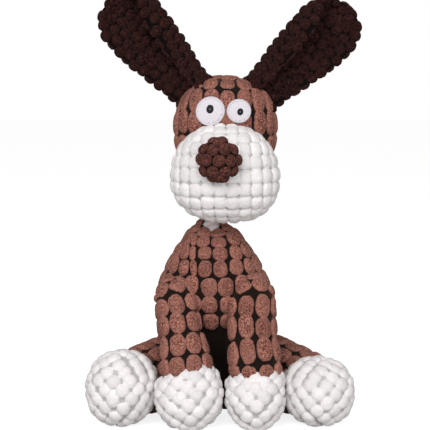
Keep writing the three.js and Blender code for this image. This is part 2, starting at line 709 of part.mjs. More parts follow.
function frontLimb(side, shoulderX, shoulderHeight, pawWidth) {
  const shoulderY = chestFront(shoulderX, shoulderHeight) - SHOULDER_PROUD;
  const pawX = PAWS_MEET + side * (pawWidth / 2 + PINCH / 2);
  const toeCap = FRONT_PAW_HEIGHT / 2;
  const at = (share, height, width, depth) => ({
    place: new THREE.Vector3(shoulderX + (pawX - shoulderX) * share, shoulderY - FRONT_REACH * share, height),
    width,
    height: depth,
  });
  return {
    stations: [
      at(0, shoulderHeight, SHOULDER_WIDTH, SHOULDER_WIDTH),
      at(calfReachShare, CALF_HEIGHT, CALF_WIDTH, CALF_WIDTH),
      at(ankleReachShare, FRONT_PAW_HEIGHT, FRONT_ANKLE_WIDTH, FRONT_ANKLE_WIDTH),
      at(1, toeCap - FLAT, pawWidth, FRONT_PAW_DEPTH),
    ],
    rootCap: SHOULDER_WIDTH * rootCapShare,
    toeCap,
    ankleWay: Z.clone().negate(),
  };
}

// Thigh and ankle: how far ahead and how far out they are, of the way from hip to paw
const thighShares = { ahead: 0.35, out: 0.52 };
const hindAnkleShares = { ahead: 0.66, out: 0.88 };
const ankleDropShare = 0.1; // how much lower the ankle is than a straight line over the leg

function hindLimb(side, frontPawWidth, pawHeight) {
  const hipRing = torsoRing(HIP_HEIGHT / 2);
  const hip = hipRing.centre.clone();
  hip.x += side * (hipRing.halfWidth - HIP_SINK);
  hip.y -= HIP_AHEAD;
  const pawX = PAWS_MEET + side * (frontPawWidth + PINCH + PINCH / 2 + HIND_PAW_WIDTH / 2);
  const toe = new THREE.Vector3(pawX, hip.y - HIND_REACH, pawHeight / 2);
  const at = ({ ahead, out }, width, height) => {
    const place = new THREE.Vector3(hip.x + (toe.x - hip.x) * out, hip.y - HIND_REACH * ahead, height / 2 - FLAT);
    return { place, width, height };
  };
  const ankleHeight = ((HIP_HEIGHT + pawHeight) / 2) * (1 - ankleDropShare);
  const stations = [
    at({ ahead: 0, out: 0 }, HIP_WIDTH, HIP_HEIGHT),
    at(thighShares, (HIP_WIDTH + HIND_ANKLE_WIDTH) / 2, (HIP_HEIGHT + ankleHeight) / 2),
    at(hindAnkleShares, HIND_ANKLE_WIDTH, ankleHeight),
    at({ ahead: 1, out: 1 }, HIND_PAW_WIDTH, pawHeight),
  ];
  const ankleWay = stations[3].place.clone().sub(stations[1].place).setZ(0).normalize();
  return { stations, rootCap: HIP_WIDTH / 2, toeCap: HIND_PAW_WIDTH / 2, ankleWay };
}

addTorso();
addSqueaker();
addReed();
addPiece("neck_rope", knottedRope(0), COTTON);
addHead();
addEye("right", -RIGHT_EYE_OUT, RIGHT_EYE_WIDTH);
addEye("left", LEFT_EYE_OUT, LEFT_EYE_WIDTH);
addEars();
const rightFront = frontLimb(RIGHT, -RIGHT_SHOULDER_OUT, RIGHT_SHOULDER_HEIGHT, RIGHT_FRONT_PAW_WIDTH);
const leftFront = frontLimb(LEFT, LEFT_SHOULDER_OUT, LEFT_SHOULDER_HEIGHT, LEFT_FRONT_PAW_WIDTH);
addLeg("right_front", rightFront);
addLeg("left_front", leftFront);
addLeg("right_hind", hindLimb(RIGHT, RIGHT_FRONT_PAW_WIDTH, RIGHT_HIND_PAW_HEIGHT), rightFront);
addLeg("left_hind", hindLimb(LEFT, LEFT_FRONT_PAW_WIDTH, LEFT_HIND_PAW_HEIGHT), leftFront);

// The origin is on the ground, under the middle of the whole toy
const bounds = new THREE.Box3().setFromObject(toy);
const middle = bounds.getCenter(new THREE.Vector3());
toy.position.set(-middle.x, -middle.y, -bounds.min.z);

export default toy;
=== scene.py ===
import itertools
import math

import bpy
import numpy as np
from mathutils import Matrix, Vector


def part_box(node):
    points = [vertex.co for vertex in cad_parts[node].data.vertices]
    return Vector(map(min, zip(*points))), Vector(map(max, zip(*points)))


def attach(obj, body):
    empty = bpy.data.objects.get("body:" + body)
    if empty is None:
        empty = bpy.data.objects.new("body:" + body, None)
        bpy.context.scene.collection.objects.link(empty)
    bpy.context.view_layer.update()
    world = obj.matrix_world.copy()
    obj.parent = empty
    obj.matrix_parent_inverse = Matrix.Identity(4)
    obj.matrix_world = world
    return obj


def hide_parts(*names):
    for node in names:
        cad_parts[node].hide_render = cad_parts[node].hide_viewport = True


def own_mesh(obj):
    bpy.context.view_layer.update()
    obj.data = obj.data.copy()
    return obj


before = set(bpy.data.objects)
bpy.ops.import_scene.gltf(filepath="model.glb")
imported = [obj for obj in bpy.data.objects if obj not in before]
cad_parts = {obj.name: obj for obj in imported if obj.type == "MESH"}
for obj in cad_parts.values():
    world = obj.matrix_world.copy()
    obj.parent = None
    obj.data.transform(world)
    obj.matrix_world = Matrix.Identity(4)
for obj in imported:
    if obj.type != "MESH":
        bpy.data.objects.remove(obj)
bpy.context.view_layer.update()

# Camera
# A long lens, a metre ahead of the toy and six degrees above level. It frames the toy as
# the photograph does, with the paws at the lower edge and an ear cut by the upper one.
CAMERA_PLACE = (-0.007424, -0.986006, 0.24873)
CAMERA_TILT = 6
CAMERA_LENS = 114.42

scene = bpy.context.scene
scene.view_settings.view_transform = "Standard"
bpy.ops.object.camera_add(location=CAMERA_PLACE, rotation=(math.radians(90 - CAMERA_TILT), 0, 0))
camera = bpy.context.object
camera.name = "camera"
camera.data.lens = CAMERA_LENS
camera.data.sensor_width = 36
scene.camera = camera

# Floor and light
# A pale floor that the camera sees as white but for the toy's soft shadow, one large soft
# lamp high in front, a fill lamp beside the camera and pale light from all round.
FLOOR_WHITE = 0.83
FLOOR_SHADED = 0.45
FLOOR_BOUNCE = 0.62
SKY = 0.33
LAMPS_AIM = (0, 0, 0.14)


def seen_share(nodes, link):
    """1 for what the camera sees, also in a gloss, and 0 for the light on the toy."""
    seen = nodes.new("ShaderNodeLightPath")
    ray = nodes.new("ShaderNodeMath")
    ray.operation = "MAXIMUM"
    link(seen.outputs["Is Camera Ray"], ray.inputs[0])
    link(seen.outputs["Is Glossy Ray"], ray.inputs[1])
    return ray.outputs[0]


bpy.ops.mesh.primitive_plane_add(size=12)
floor = bpy.context.object
floor.name = "floor"
floor_finish = bpy.data.materials.new("floor_finish")
floor_finish.use_nodes = True
nodes = floor_finish.node_tree.nodes
link = floor_finish.node_tree.links.new
nodes.clear()
shaded = nodes.new("ShaderNodeBsdfDiffuse")
shaded.inputs["Color"].default_value = (FLOOR_SHADED,) * 3 + (1,)
glow = nodes.new("ShaderNodeEmission")
glow.inputs["Strength"].default_value = FLOOR_WHITE
both = nodes.new("ShaderNodeAddShader")
bounce = nodes.new("ShaderNodeBsdfDiffuse")
bounce.inputs["Color"].default_value = (FLOOR_BOUNCE,) * 3 + (1,)
choice = nodes.new("ShaderNodeMixShader")
output = nodes.new("ShaderNodeOutputMaterial")
link(shaded.outputs[0], both.inputs[0])
link(glow.outputs[0], both.inputs[1])
link(seen_share(nodes, link), choice.inputs[0])
link(bounce.outputs[0], choice.inputs[1])
link(both.outputs[0], choice.inputs[2])
link(choice.outputs[0], output.inputs["Surface"])
floor.data.materials.append(floor_finish)

world = bpy.data.worlds.new("sky")
scene.world = world
world.use_nodes = True
nodes = world.node_tree.nodes
link = world.node_tree.links.new
strength = nodes.new("ShaderNodeMapRange")
strength.inputs["To Min"].default_value = SKY
strength.inputs["To Max"].default_value = 1
nodes["Background"].inputs["Color"].default_value = (1, 1, 1, 1)
link(seen_share(nodes, link), strength.inputs["Value"])
link(strength.outputs[0], nodes["Background"].inputs["Strength"])

for name, place, size, power in [
    ("key_lamp", (-0.4, -1.15, 0.9), 1.0, 17),
    ("fill_lamp", (0.6, -1.35, 0.45), 0.9, 8.6),
]:
    bpy.ops.object.light_add(type="AREA", location=place)
    lamp = bpy.context.object
    lamp.name = name
    lamp.data.size = size
    lamp.data.energy = power
    way = np.array(LAMPS_AIM) - np.array(place)
    lamp.rotation_euler = (
        math.atan2(math.hypot(way[0], way[1]), -way[2]),
        0,
        math.atan2(way[1], way[0]) - math.pi / 2,
    )

# Torso
# A bell of brown plush, two panels sewn up the chest and the back. The cloth is near
# black between its raised cells, and it is gathered round the rope at the top.
MM = 0.001
COVER = 3
TORSO_HEIGHT = 140
TORSO_WIDTH = 90
TORSO_DEPTH = 86
CELL_WIDTH = 12.3
CELL_LENGTH = 15.4
MOUTH_DIP = 8
NECK_MOUTH = np.array([-7.02, -4.3, TORSO_HEIGHT])
# At tenths of the height, from the floor up: half width, half depth, and how far aside
# and back the middle lies, as shares of the torso's width and depth
torso_shares = np.array([
    [0.42, 0.35, 0.0, 0.28],
    [0.48, 0.42, 0.0, 0.28],
    [0.5, 0.45, -0.01, 0.255],
    [0.497, 0.475, -0.02, 0.21],
    [0.495, 0.49, -0.03, 0.16],
    [0.49, 0.5, -0.04, 0.1],
    [0.475, 0.485, -0.05, 0.005],
    [0.425, 0.44, -0.06, -0.04],
    [0.35, 0.38, -0.065, -0.05],
    [0.245, 0.29, -0.07, -0.053],
    [10.3 / TORSO_WIDTH, 12.5 / TORSO_DEPTH, -0.078, -0.05],
])

# The toy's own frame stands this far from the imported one, as its squeaker shows
base_low, base_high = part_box("squeaker_base")
squeaker_middle = np.array([(base_low.x + base_high.x) / 2, (base_low.y + base_high.y) / 2, 0]) / MM
shift = squeaker_middle - np.array([0, 0.28 * TORSO_DEPTH, 0])


def spline(values, place, closed=False):
    """Values between rows, on a smooth curve through them. Place counts rows."""
    values = np.asarray(values, float)
    count = len(values)
    start = np.floor(place).astype(int)
    if not closed:
        start = np.clip(start, 0, count - 2)
    t = (place - start).reshape(-1, *[1] * (values.ndim - 1))

    def row(step):
        index = start + step
        return values[index % count] if closed else values[np.clip(index, 0, count - 1)]

    a, b, c, d = row(-1), row(0), row(1), row(2)
    return b + 0.5 * t * (c - a + t * (2 * a - 5 * b + 4 * c - d + t * (3 * (b - c) + d - a)))


def run_of(bag):
    """How far along the bag each of its rings lies."""
    steps = np.linalg.norm(np.diff(bag, axis=0), axis=2).mean(1)
    return np.concatenate([[0], np.cumsum(steps)])


def finer(bag, spacing, sides):
    """The same bag with rings a spacing apart and more sides."""
    length = run_of(bag)
    rows = int(length[-1] / spacing) + 1
    place = np.interp(np.linspace(0, length[-1], rows), length, np.arange(len(bag)))
    tall = spline(bag, place)
    around = np.linspace(0, bag.shape[1], sides, endpoint=False)
    return spline(tall.swapaxes(0, 1), around, closed=True).swapaxes(0, 1)


def rough(points, size, seed):
    """Smooth noise from -1 to 1 with bumps about a size apart."""
    place = points / size + seed * 7.31
    corner = np.floor(place).astype(np.int64)
    part = place - corner
    part = part * part * (3 - 2 * part)
    total = np.zeros(len(points))
    for step in itertools.product((0, 1), repeat=3):
        n = ((corner + step) * (374761393, 668265263, 974634541)).sum(1) & 0xFFFFFFFF
        n = ((n ^ (n >> 13)) * 1274126177) & 0xFFFFFFFF
        value = ((n ^ (n >> 16)) & 0xFFFF) / 32767.5 - 1
        total += value * np.where(step, part, 1 - part).prod(1)
    return total


def bag_mesh(name, bag):
    """A closed mesh over rings of points, whose first and last ring are single points."""
    rows, sides = bag.shape[:2]
    points = np.vstack([bag[0, 0], bag[1:-1].reshape(-1, 3), bag[-1, 0]])
    here = np.arange(sides)
    after = (here + 1) % sides
    low = 1 + sides * np.arange(rows - 3)[:, None]
    high = low + sides
    quads = np.stack([low + here, low + after, high + after, high + here], 2).reshape(-1, 4)
    last = 1 + sides * (rows - 3)
    ends = np.vstack([
        np.stack([np.zeros(sides, int), 1 + after, 1 + here], 1),
        np.stack([np.full(sides, len(points) - 1), last + here, last + after], 1),
    ])
    a, b, c, d = (points[quads[:, k]] - points.mean(0) for k in range(4))
    if (np.cross(b - a, d - a) * a).sum() < 0:
        quads = quads[:, ::-1]
        ends = ends[:, ::-1]
    mesh = bpy.data.meshes.new(name)
    mesh.from_pydata(points * MM, [], quads.tolist() + ends.tolist())
    mesh.validate()
    mesh.shade_smooth()
    return mesh, points


def new_piece(name, mesh, finish, points=None):
    """A piece from a mesh. A bag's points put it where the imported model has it."""
    if points is not None:
        mesh.vertices.foreach_set("co", ((points + shift) * MM).ravel())
        mesh.update()
    mesh.materials.clear()
    mesh.materials.append(finish)
    piece = bpy.data.objects.new(name, mesh)
    scene.collection.objects.link(piece)
    return piece


def filled(bag, puff, most, first=0, last=0):
    """The bag as its filling swells it, its first and last rings held where it is sewn."""
    larger = 10
    frames = 20
    rows, sides = bag.shape[:2]
    ring = np.concatenate([[0], np.repeat(np.arange(1, rows - 1), sides), [rows - 1]])
    held = np.flatnonzero((ring < first) | (ring >= rows - last))
    mesh, points = bag_mesh("cloth_to_settle", bag * larger)
    bag_object = bpy.data.objects.new("cloth_to_settle", mesh)
    scene.collection.objects.link(bag_object)
    bag_object.vertex_groups.new(name="sewn").add(held.tolist(), 1, "REPLACE")
    cloth = bag_object.modifiers.new("cloth", "CLOTH")
    settings = cloth.settings
    settings.quality = 6
    settings.mass = 0.2
    settings.tension_stiffness = 12
    settings.compression_stiffness = 12
    settings.shear_stiffness = 5
    settings.bending_stiffness = 0.4
    settings.use_pressure = True
    settings.uniform_pressure_force = puff
    settings.vertex_group_mass = "sewn"
    settings.effector_weights.gravity = 0
    settings.shrink_min = -0.05
    cloth.point_cache.frame_start = 1
    cloth.point_cache.frame_end = frames
    for number in range(1, frames + 1):
        scene.frame_set(number)
    settled = bag_object.evaluated_get(bpy.context.evaluated_depsgraph_get())
    after = np.zeros(len(points) * 3)
    settled.data.vertices.foreach_get("co", after)
    move = (after.reshape(-1, 3) / MM - points) / larger
    size = np.linalg.norm(move, axis=1, keepdims=True)
    move *= most * np.tanh(size / most) / np.maximum(size, 1e-9)
    bpy.data.objects.remove(bag_object)
    scene.frame_set(1)
    result = bag.copy()
    result[0] += move[0]
    result[-1] += move[-1]
    result[1:-1] += move[1:-1].reshape(bag[1:-1].shape)
    return result


def edges_at(bag, heights):
    """How far along the bag its front line passes each height."""
    line, heights = bag[:, 0, 2], np.asarray(heights, float)
    if line[-1] < line[0]:
        line, heights = -line, -heights
    rising = np.maximum.accumulate(line) + 1e-6 * np.arange(len(line))
    return list(np.interp(heights, rising, run_of(bag)))


def cells(bag, wide, long, seed, edges=None, offset=0.0, columns=None, bead=0, size=1.0, slant=0.0):
    """Places the raised cells of the plush in columns along the bag, from its front line.

    Columns are each a middle and a width in widths of a cell, and a slant leans them. With
    a bead's width, round cells stand in rows that close round the bag, each row set half a
    step on from the last.
    """
    random = np.random.default_rng(seed)
    rows, sides = bag.shape[:2]
    turned = np.roll(bag, sides // 2, axis=1)
    turned = np.concatenate([turned, turned[:, :1]], axis=1)
    steps = np.linalg.norm(np.diff(turned, axis=1), axis=2)
    across = np.concatenate([np.zeros((rows, 1)), np.cumsum(steps, axis=1)], axis=1)
    across -= across[:, [sides // 2]]
    along = run_of(bag)

    def spot(u, v):
        ring = int(np.clip(round(float(np.interp(v, along, np.arange(rows)))), 0, rows - 1))
        column = float(np.interp(u, across[ring], np.arange(sides + 1)))
        low = min(int(column), sides - 1)
        return turned[ring, low] * (1 - column + low) + turned[ring, low + 1] * (column - low)

    made = []
    if edges is None:
        edges = np.linspace(0, along[-1], max(1, round(along[-1] / long)) + 1)
    for number, (first, last) in enumerate(zip(edges[:-1], edges[1:])):
        middle = (first + last) / 2
        ring = int(np.interp(middle, along, np.arange(rows)))
        low, high = across[ring, 0], across[ring, -1]
        if bead:
            fit = max(3, round((high - low) / wide))
            step = (high - low) / fit
            places = [((i - fit // 2 + number % 2 / 2) * step, bead) for i in range(fit)]
        else:
            places = []
            for centre, share in columns or [(i + offset, 1) for i in range(-30, 31)]:
                centre += slant * (middle - edges[0]) / wide
                left = max((centre - share / 2) * wide, low)
                right = min((centre + share / 2) * wide, high)
                if right - left > 0.36 * wide:
                    places.append(((left + right) / 2, right - left))
        for u, width in places:
            v = middle + random.uniform(-0.05, 0.05) * (last - first)
            u += random.uniform(-0.04, 0.04) * wide
            place = spot(u, v)
            pitch = bead or np.linalg.norm(spot(u, last) - spot(u, first))
            ahead = spot(u, v + 2.5) - spot(u, v - 2.5)
            aside = spot(u + 2, v) - spot(u - 2, v)
            out = np.cross(aside, ahead)
            if min(np.linalg.norm(ahead), np.linalg.norm(out)) < 1e-6:
                continue
            ahead /= np.linalg.norm(ahead)
            out /= np.linalg.norm(out)
            turn = random.normal(0, 0.05)
            aside = np.cross(ahead, out)
            made.append({
                "place": place,
                "along": ahead * math.cos(turn) + aside * math.sin(turn),
                "across": aside * math.cos(turn) - ahead * math.sin(turn),
                "out": out,
                "half": (
                    width / 2 * size * random.uniform(0.95, 1.04),
                    pitch / 2 * size * random.uniform(0.97, 1.05),
                ),
                "lift": random.uniform(0.86, 1.08),
                "tint": random.uniform(0, 1),
            })
    return made


BRICK = {"gap": (0.6, 0.2), "boxy": 12.0, "cut": 0.655, "steep": 4.5, "fuzz": 0.2}
NEAREST = 6
RIM_END = 1.3
AT_ONCE = 12000


def plush(name, bag, tufts, finish, lift, boxy, steep, fuzz, gap=0, cut=0):
    """The plush over a bag: its cells raised from the backing, with a rough pile.

    Each point takes the highest of the cells nearest to it. Its tint is that cell's, and its edge is how far
    out in the cell it lies, which the finish uses for a painted sheen along the rim.
    """
    mesh, points = bag_mesh(name, bag)
    count = len(points)
    normals = np.zeros(count * 3)
    mesh.vertices.foreach_get("normal", normals)
    normals = normals.reshape(-1, 3)
    fields = {key: np.array([tuft[key] for tuft in tufts], float) for key in tufts[0]}
    facing = np.einsum("ij,ij->i", fields["out"], fields["place"] - points.mean(0))
    if facing.mean() < 0:
        fields["out"] = -fields["out"]
    near = min(NEAREST, len(tufts))
    height = np.zeros(count)
    edge = np.full(count, RIM_END)
    tint = np.full(count, 0.5)
    warp = 1 + 0.05 * rough(points, 4.5, 1) + 0.04 * rough(points, 1.6, 4)
    for start in range(0, count, AT_ONCE):
        part = slice(start, start + AT_ONCE)
        here = points[part]
        far = ((here[:, None] - fields["place"][None]) ** 2).sum(2)
        pick = np.argpartition(far, near - 1, axis=1)[:, :near]
        away = here[:, None] - fields["place"][pick]
        half = np.maximum(fields["half"][pick] - gap, 0.5)
        x = np.abs((away * fields["across"][pick]).sum(2)) / half[..., 0]
        y = np.abs((away * fields["along"][pick]).sum(2)) / half[..., 1]
        far = (x**boxy + y**boxy + ((x + y) * cut) ** boxy) ** (1 / boxy) * warp[part, None]
        same = (normals[part][:, None] * fields["out"][pick]).sum(2) > -0.2
        rise = np.where(same, (1 - np.minimum(far, 1) ** steep) ** 0.6, 0) * fields["lift"][pick]
        best = np.arange(len(here)), rise.argmax(1)
        height[part] = rise[best]
        edge[part] = np.minimum(far[best], RIM_END)
        tint[part] = fields["tint"][pick][best]
    fluff = rough(points, 1.25, 2) * 0.55 + rough(points, 2.6, 3) * 0.45
    share = np.clip(height * 1.6, 0, 1)
    points = points + normals * (height * lift + fluff * fuzz * share)[:, None]
    points[:, 2] = np.maximum(points[:, 2], 0.05)
    for key, values in (("pile", height), ("edge", edge), ("tint", tint)):
        mesh.attributes.new(key, "FLOAT", "POINT").data.foreach_set("value", values.astype(np.float32))
    return new_piece(name, mesh, finish, points)


def torso_rings(heights):
    """Half width, half depth and middle of the torso at heights, as the CAD has them."""
    wide, deep, lean, back = spline(torso_shares, np.asarray(heights, float) / TORSO_HEIGHT * 10).T
    return wide * TORSO_WIDTH, deep * TORSO_DEPTH, lean * TORSO_WIDTH, back * TORSO_DEPTH


def torso_at(height):
    return tuple(value[0] for value in torso_rings([height]))


def angles(count):
    """Angles round a ring, from its front line."""
    return np.linspace(0, 2 * math.pi, count, endpoint=False)


def rings(middles, halves_across, halves_deep, crest, sides):
    """Oval rings about a line of middles. The front line of each lies towards the crest."""
    middles = np.asarray(middles, float)
    ahead = np.gradient(middles, axis=0)
    ahead[np.linalg.norm(ahead, axis=1) < 1e-9] = (0, 0, 1)
    ahead /= np.linalg.norm(ahead, axis=1, keepdims=True)
    front = np.asarray(crest, float) - ahead * (ahead @ np.asarray(crest, float))[:, None]
    front /= np.linalg.norm(front, axis=1, keepdims=True)
    aside = np.cross(ahead, front)
    turn = angles(sides)
    across = np.sin(turn)[None, :, None] * aside[:, None] * np.asarray(halves_across)[:, None, None]
    deep = np.cos(turn)[None, :, None] * front[:, None] * np.asarray(halves_deep)[:, None, None]
    return middles[:, None] + across + deep


def mouth_dip(points):
    """How far the torso's mouth dips at a place: at the front, where the rope shows."""
    rise = np.clip((points[..., 2] - 118) / 21.6, 0, 1) ** 1.8
    away = points[..., :2] - NECK_MOUTH[:2]
    ahead = -away[..., 1] / np.maximum(np.hypot(away[..., 0], away[..., 1]), 1e-6)
    return MOUTH_DIP * rise * np.clip(ahead, 0, 1) ** 3


def torso_bag():
    heights = np.linspace(8, 136, 25)
    wide, deep, lean, back = torso_rings(heights)
    wide, deep = wide - COVER, deep - COVER
    foot_wide, foot_deep, foot_lean, foot_back = torso_at(0)
    foot = [(share, 3 + rise) for share, rise in ((0.001, 0), (0.45, 0), (0.8, 0), (0.96, 0.6), (1.02, 2.2))]
    mouth = [(8.4, 138.6), (7.6, 139.6), (6.9, 138.6), (6.6, 134), (6.4, 129), (0.001, 128)]
    middles = [(foot_lean, foot_back, high) for _, high in foot]
    middles += list(zip(lean, back, heights))
    top_wide, top_deep, top_lean, top_back = torso_at(TORSO_HEIGHT)
    middles += [(top_lean, top_back, high) for _, high in mouth]
    across = [(foot_wide - COVER) * share for share, _ in foot] + list(wide) + [radius for radius, _ in mouth]
    depth = [(foot_deep - COVER) * share for share, _ in foot] + list(deep)
    depth += [radius * (top_deep / top_wide if high > 138 else 1) for radius, high in mouth]
    turn = angles(48)
    middles, across, depth = np.array(middles), np.array(across), np.array(depth)
    bag = np.zeros((len(middles), len(turn), 3))
    bag[..., 0] = middles[:, None, 0] + across[:, None] * np.sin(turn)
    bag[..., 1] = middles[:, None, 1] - depth[:, None] * np.cos(turn)
    bag[..., 2] = middles[:, None, 2]
    bag[..., 2] -= mouth_dip(bag)
    return bag


class Finish:
    """A material in the making. Its textures lie on the piece's own place."""

    def __init__(self, name, sockets):
        self.made = bpy.data.materials.new(name)
        self.made.use_nodes = True
        self.nodes = self.made.node_tree.nodes
        self.link = self.made.node_tree.links.new
        self.shader = self.nodes["Principled BSDF"]
        self.where = self.nodes.new("ShaderNodeTexCoord").outputs["Object"]
        for socket, value in sockets.items():
            self.shader.inputs[socket].default_value = value

    def feed(self, socket, value):
        """Gives a socket another's output, a colour or a number."""
        if isinstance(value, bpy.types.NodeSocket):
            self.link(value, socket)
        else:
            socket.default_value = (*value, 1) if isinstance(value, tuple) else value

    def noise(self, scale, detail=2, distortion=0):
        node = self.nodes.new("ShaderNodeTexNoise")
        self.feed(node.inputs["Scale"], scale)
        self.feed(node.inputs["Detail"], detail)
        self.feed(node.inputs["Distortion"], distortion)
        self.link(self.where, node.inputs["Vector"])
        return node.outputs["Fac"]

    def attribute(self, key):
        node = self.nodes.new("ShaderNodeAttribute")
        node.attribute_name = key
        return node.outputs["Fac"]

    def ranged(self, value, low, high, to_low=0.0, to_high=1.0):
        node = self.nodes.new("ShaderNodeMapRange")
        node.interpolation_type = "SMOOTHSTEP"
        for socket, given in zip(node.inputs, (value, low, high, to_low, to_high)):
            self.feed(socket, given)
        return node.outputs["Result"]

    def mixed(self, share, one, other):
        node = self.nodes.new("ShaderNodeMix")
        node.data_type = "RGBA"
        for number, given in ((0, share), (6, one), (7, other)):
            self.feed(node.inputs[number], given)
        return node.outputs[2]

    def joined(self, colour, height, strength, depth):
        """The material, with its colour and a fine relief joined to the shader."""
        relief = self.nodes.new("ShaderNodeBump")
        self.feed(relief.inputs["Strength"], strength)
        self.feed(relief.inputs["Distance"], depth)
        self.link(height, relief.inputs["Height"])
        self.link(relief.outputs["Normal"], self.shader.inputs["Normal"])
        self.link(colour, self.shader.inputs["Base Color"])
        return self.made


def cloth_finish(name, deep, pile, bright, rim, sheen, sheen_tint, grain=750, bump=0.5):
    """Plush: pile over a darker backing, speckled, and paler along each cell's rim as a painted sheen."""
    cloth = Finish(name, {
        "Roughness": 0.95,
        "Specular IOR Level": 0.06,
        "Sheen Weight": sheen,
        "Sheen Roughness": 0.5,
        "Sheen Tint": (*sheen_tint, 1),
    })
    speckled = cloth.mixed(cloth.ranged(cloth.noise(grain, 4), 0.42, 0.65), pile, bright)
    duller = cloth.ranged(cloth.attribute("tint"), 0, 1, 0, 0.3)
    dimmed = cloth.mixed(duller, speckled, tuple(0.62 * v for v in pile))
    patches = cloth.ranged(cloth.noise(60), 0.3, 0.75, 0, 0.35)
    patchy = cloth.mixed(patches, dimmed, tuple(0.8 * v for v in bright))
    # Painted highlight: near each cell's edge the colour moves towards the rim colour, standing in for the
    # sheen of the pile there
    painted_rim_sheen = cloth.mixed(cloth.ranged(cloth.attribute("edge"), 0.62, 0.96, 0, 0.3), patchy, rim)
    # Where the pile is low the deep colour shows: the backing, and in the white plush also painted shade in
    # the pits
    colour = cloth.mixed(cloth.ranged(cloth.attribute("pile"), 0.02, 0.3), deep, painted_rim_sheen)
    return cloth.joined(colour, cloth.noise(grain * 1.3), bump, 0.0006)


brown_plush = cloth_finish(
    "brown_plush",
    deep=(0.008, 0.005, 0.004),
    pile=(0.088, 0.028, 0.02),
    bright=(0.42, 0.183, 0.14),
    # rim: the colour of the painted sheen along the cells' edges
    rim=(0.39, 0.175, 0.135),
    sheen=0.12,
    sheen_tint=(0.75, 0.5, 0.42),
    grain=1050,
)

torso = filled(torso_bag(), 3.0, 2.0, first=5, last=7)
torso_skin = finer(torso, 0.72, 384)
GUSSET_TOP = 70
CHEST_CREASE = 104
chest_edges = edges_at(torso_skin, [CHEST_CREASE, 115.3, 124])
mouth = run_of(torso_skin)[torso_skin[:, 0, 2].argmax()] + 1.5
chest_edges += [(chest_edges[-1] + mouth) / 2, mouth]
seat_rows = round(edges_at(torso_skin, [CHEST_CREASE])[0] / 14.2)
seat_edges = np.linspace(0, chest_edges[0], seat_rows + 1)
# Columns of the upper chest, each a middle and a width in widths of a cell. The two
# narrow ones are cut by the chest seam.
chest_columns = [(-1.82, 0.8), (-1.2, 0.5), (-0.5, 0.9), (0.41, 0.95)]
chest_columns += [(1.43 + step, 1) for step in range(9)] + [(-2.75 - step, 1) for step in range(8)]
upper = cells(torso_skin, CELL_WIDTH, 0, 11, chest_edges, columns=chest_columns)
lower = cells(torso_skin, CELL_WIDTH, 0, 12, seat_edges, offset=-0.3)


def on_gusset(place):
    """Whether a place lies on the black panel, where no cells stand."""
    return place[2] < GUSSET_TOP - 6 and abs(place[0]) < 20 and place[1] < 20


torso_cells = [tuft for tuft in upper + lower if not on_gusset(tuft["place"])]
torso_piece = plush("torso_plush", torso_skin, torso_cells, brown_plush, COVER, **BRICK)
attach(torso_piece, "torso")
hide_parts("torso_left_panel", "torso_right_panel")

# Belly cloth
# A panel of plain near-black cloth between the front legs. It is slack there, so it hangs
# in soft upright folds.
GUSSET_WIDTH = 46
CLOTH_THICK = 1.6


def belly_bag():
    heights = np.concatenate([[0.3], np.linspace(1, GUSSET_TOP - 3, 40)])
    wide, deep, lean, back = torso_rings(heights)
    columns = np.linspace(-GUSSET_WIDTH / 2, GUSSET_WIDTH / 2, 42)
    x = columns[None] + lean[:, None]
    share = np.clip(np.abs(columns)[None] / (wide[:, None] - COVER), 0, 0.999)
    folds = 1.3 * np.sin(columns * 0.5 + 0.5)[None] * np.sin(heights / 26 + 0.4)[:, None]
    folds += 0.7 * np.sin(columns * 0.95 + 2)[None] * np.cos(heights / 17)[:, None]
    y = back[:, None] - (deep[:, None] - COVER + 1.3) * np.sqrt(1 - share**2) + folds
    z = np.repeat(heights[:, None], len(columns), 1)
    ahead = np.stack([x, y, z], 2)
    behind = ahead + (0, CLOTH_THICK, 0)
    loops = np.concatenate([ahead, behind[:, ::-1]], axis=1)
    ends = [np.repeat(loops[[k]].mean(1, keepdims=True), loops.shape[1], 1) for k in (0, -1)]
    return np.concatenate([ends[0], loops, ends[1]])


lining = Finish("black_lining", {
    "Roughness": 0.85,
    "Specular IOR Level": 0.15,
    "Sheen Weight": 0.08,
    "Sheen Tint": (0.5, 0.4, 0.38, 1),
})
lining_shades = lining.mixed(lining.noise(90, 4), (0.006, 0.004, 0.004), (0.02, 0.013, 0.012))
black_lining = lining.joined(lining_shades, lining.noise(1500), 0.3, 0.0003)

mesh, points = bag_mesh("belly_cloth", belly_bag())
belly_piece = new_piece("belly_cloth", mesh, black_lining, points)
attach(belly_piece, "torso")
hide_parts("belly_gusset")

# Front legs
# Stuffed tubes of brown plush sewn to the chest at the shoulders, their columns of cells
# running down to the ankle seam, where a white plush paw is sewn on.
PAWS_MEET = 2
FRONT_PAW_HEIGHT = 44
FRONT_PAW_DEPTH = 46
LEG_AHEAD = 4
LEG_REACH = 20
# The paws' bobbles stand in a square lattice set on its corner
BOBBLE = 8.8
PAW_COLUMN = BOBBLE * 1.41
PAW_ROW = BOBBLE * 0.71
BEAD_LIFT = 3
BEAD_SIZE = 1.14
BEAD = {"boxy": 2.1, "steep": 2.3, "fuzz": 0.36}


def way_of(vector):
    return np.asarray(vector, float) / np.linalg.norm(vector)


def pressed(bag, gap):
    """The bag with what lies in the torso moved out to a gap from the torso's skin."""
    points = bag.reshape(-1, 3)
    wide, deep, lean, back = torso_rings(np.clip(points[:, 2], 0, TORSO_HEIGHT))
    away = points[:, :2] - np.stack([lean, back], 1)
    share = np.hypot(away[:, 0] / (wide + gap), away[:, 1] / (deep + gap))
    inside = (share < 1) & (points[:, 2] < TORSO_HEIGHT)
    moved = points.copy()
    moved[inside, :2] += (away / np.maximum(share, 0.2)[:, None] - away)[inside]
    return moved.reshape(bag.shape)


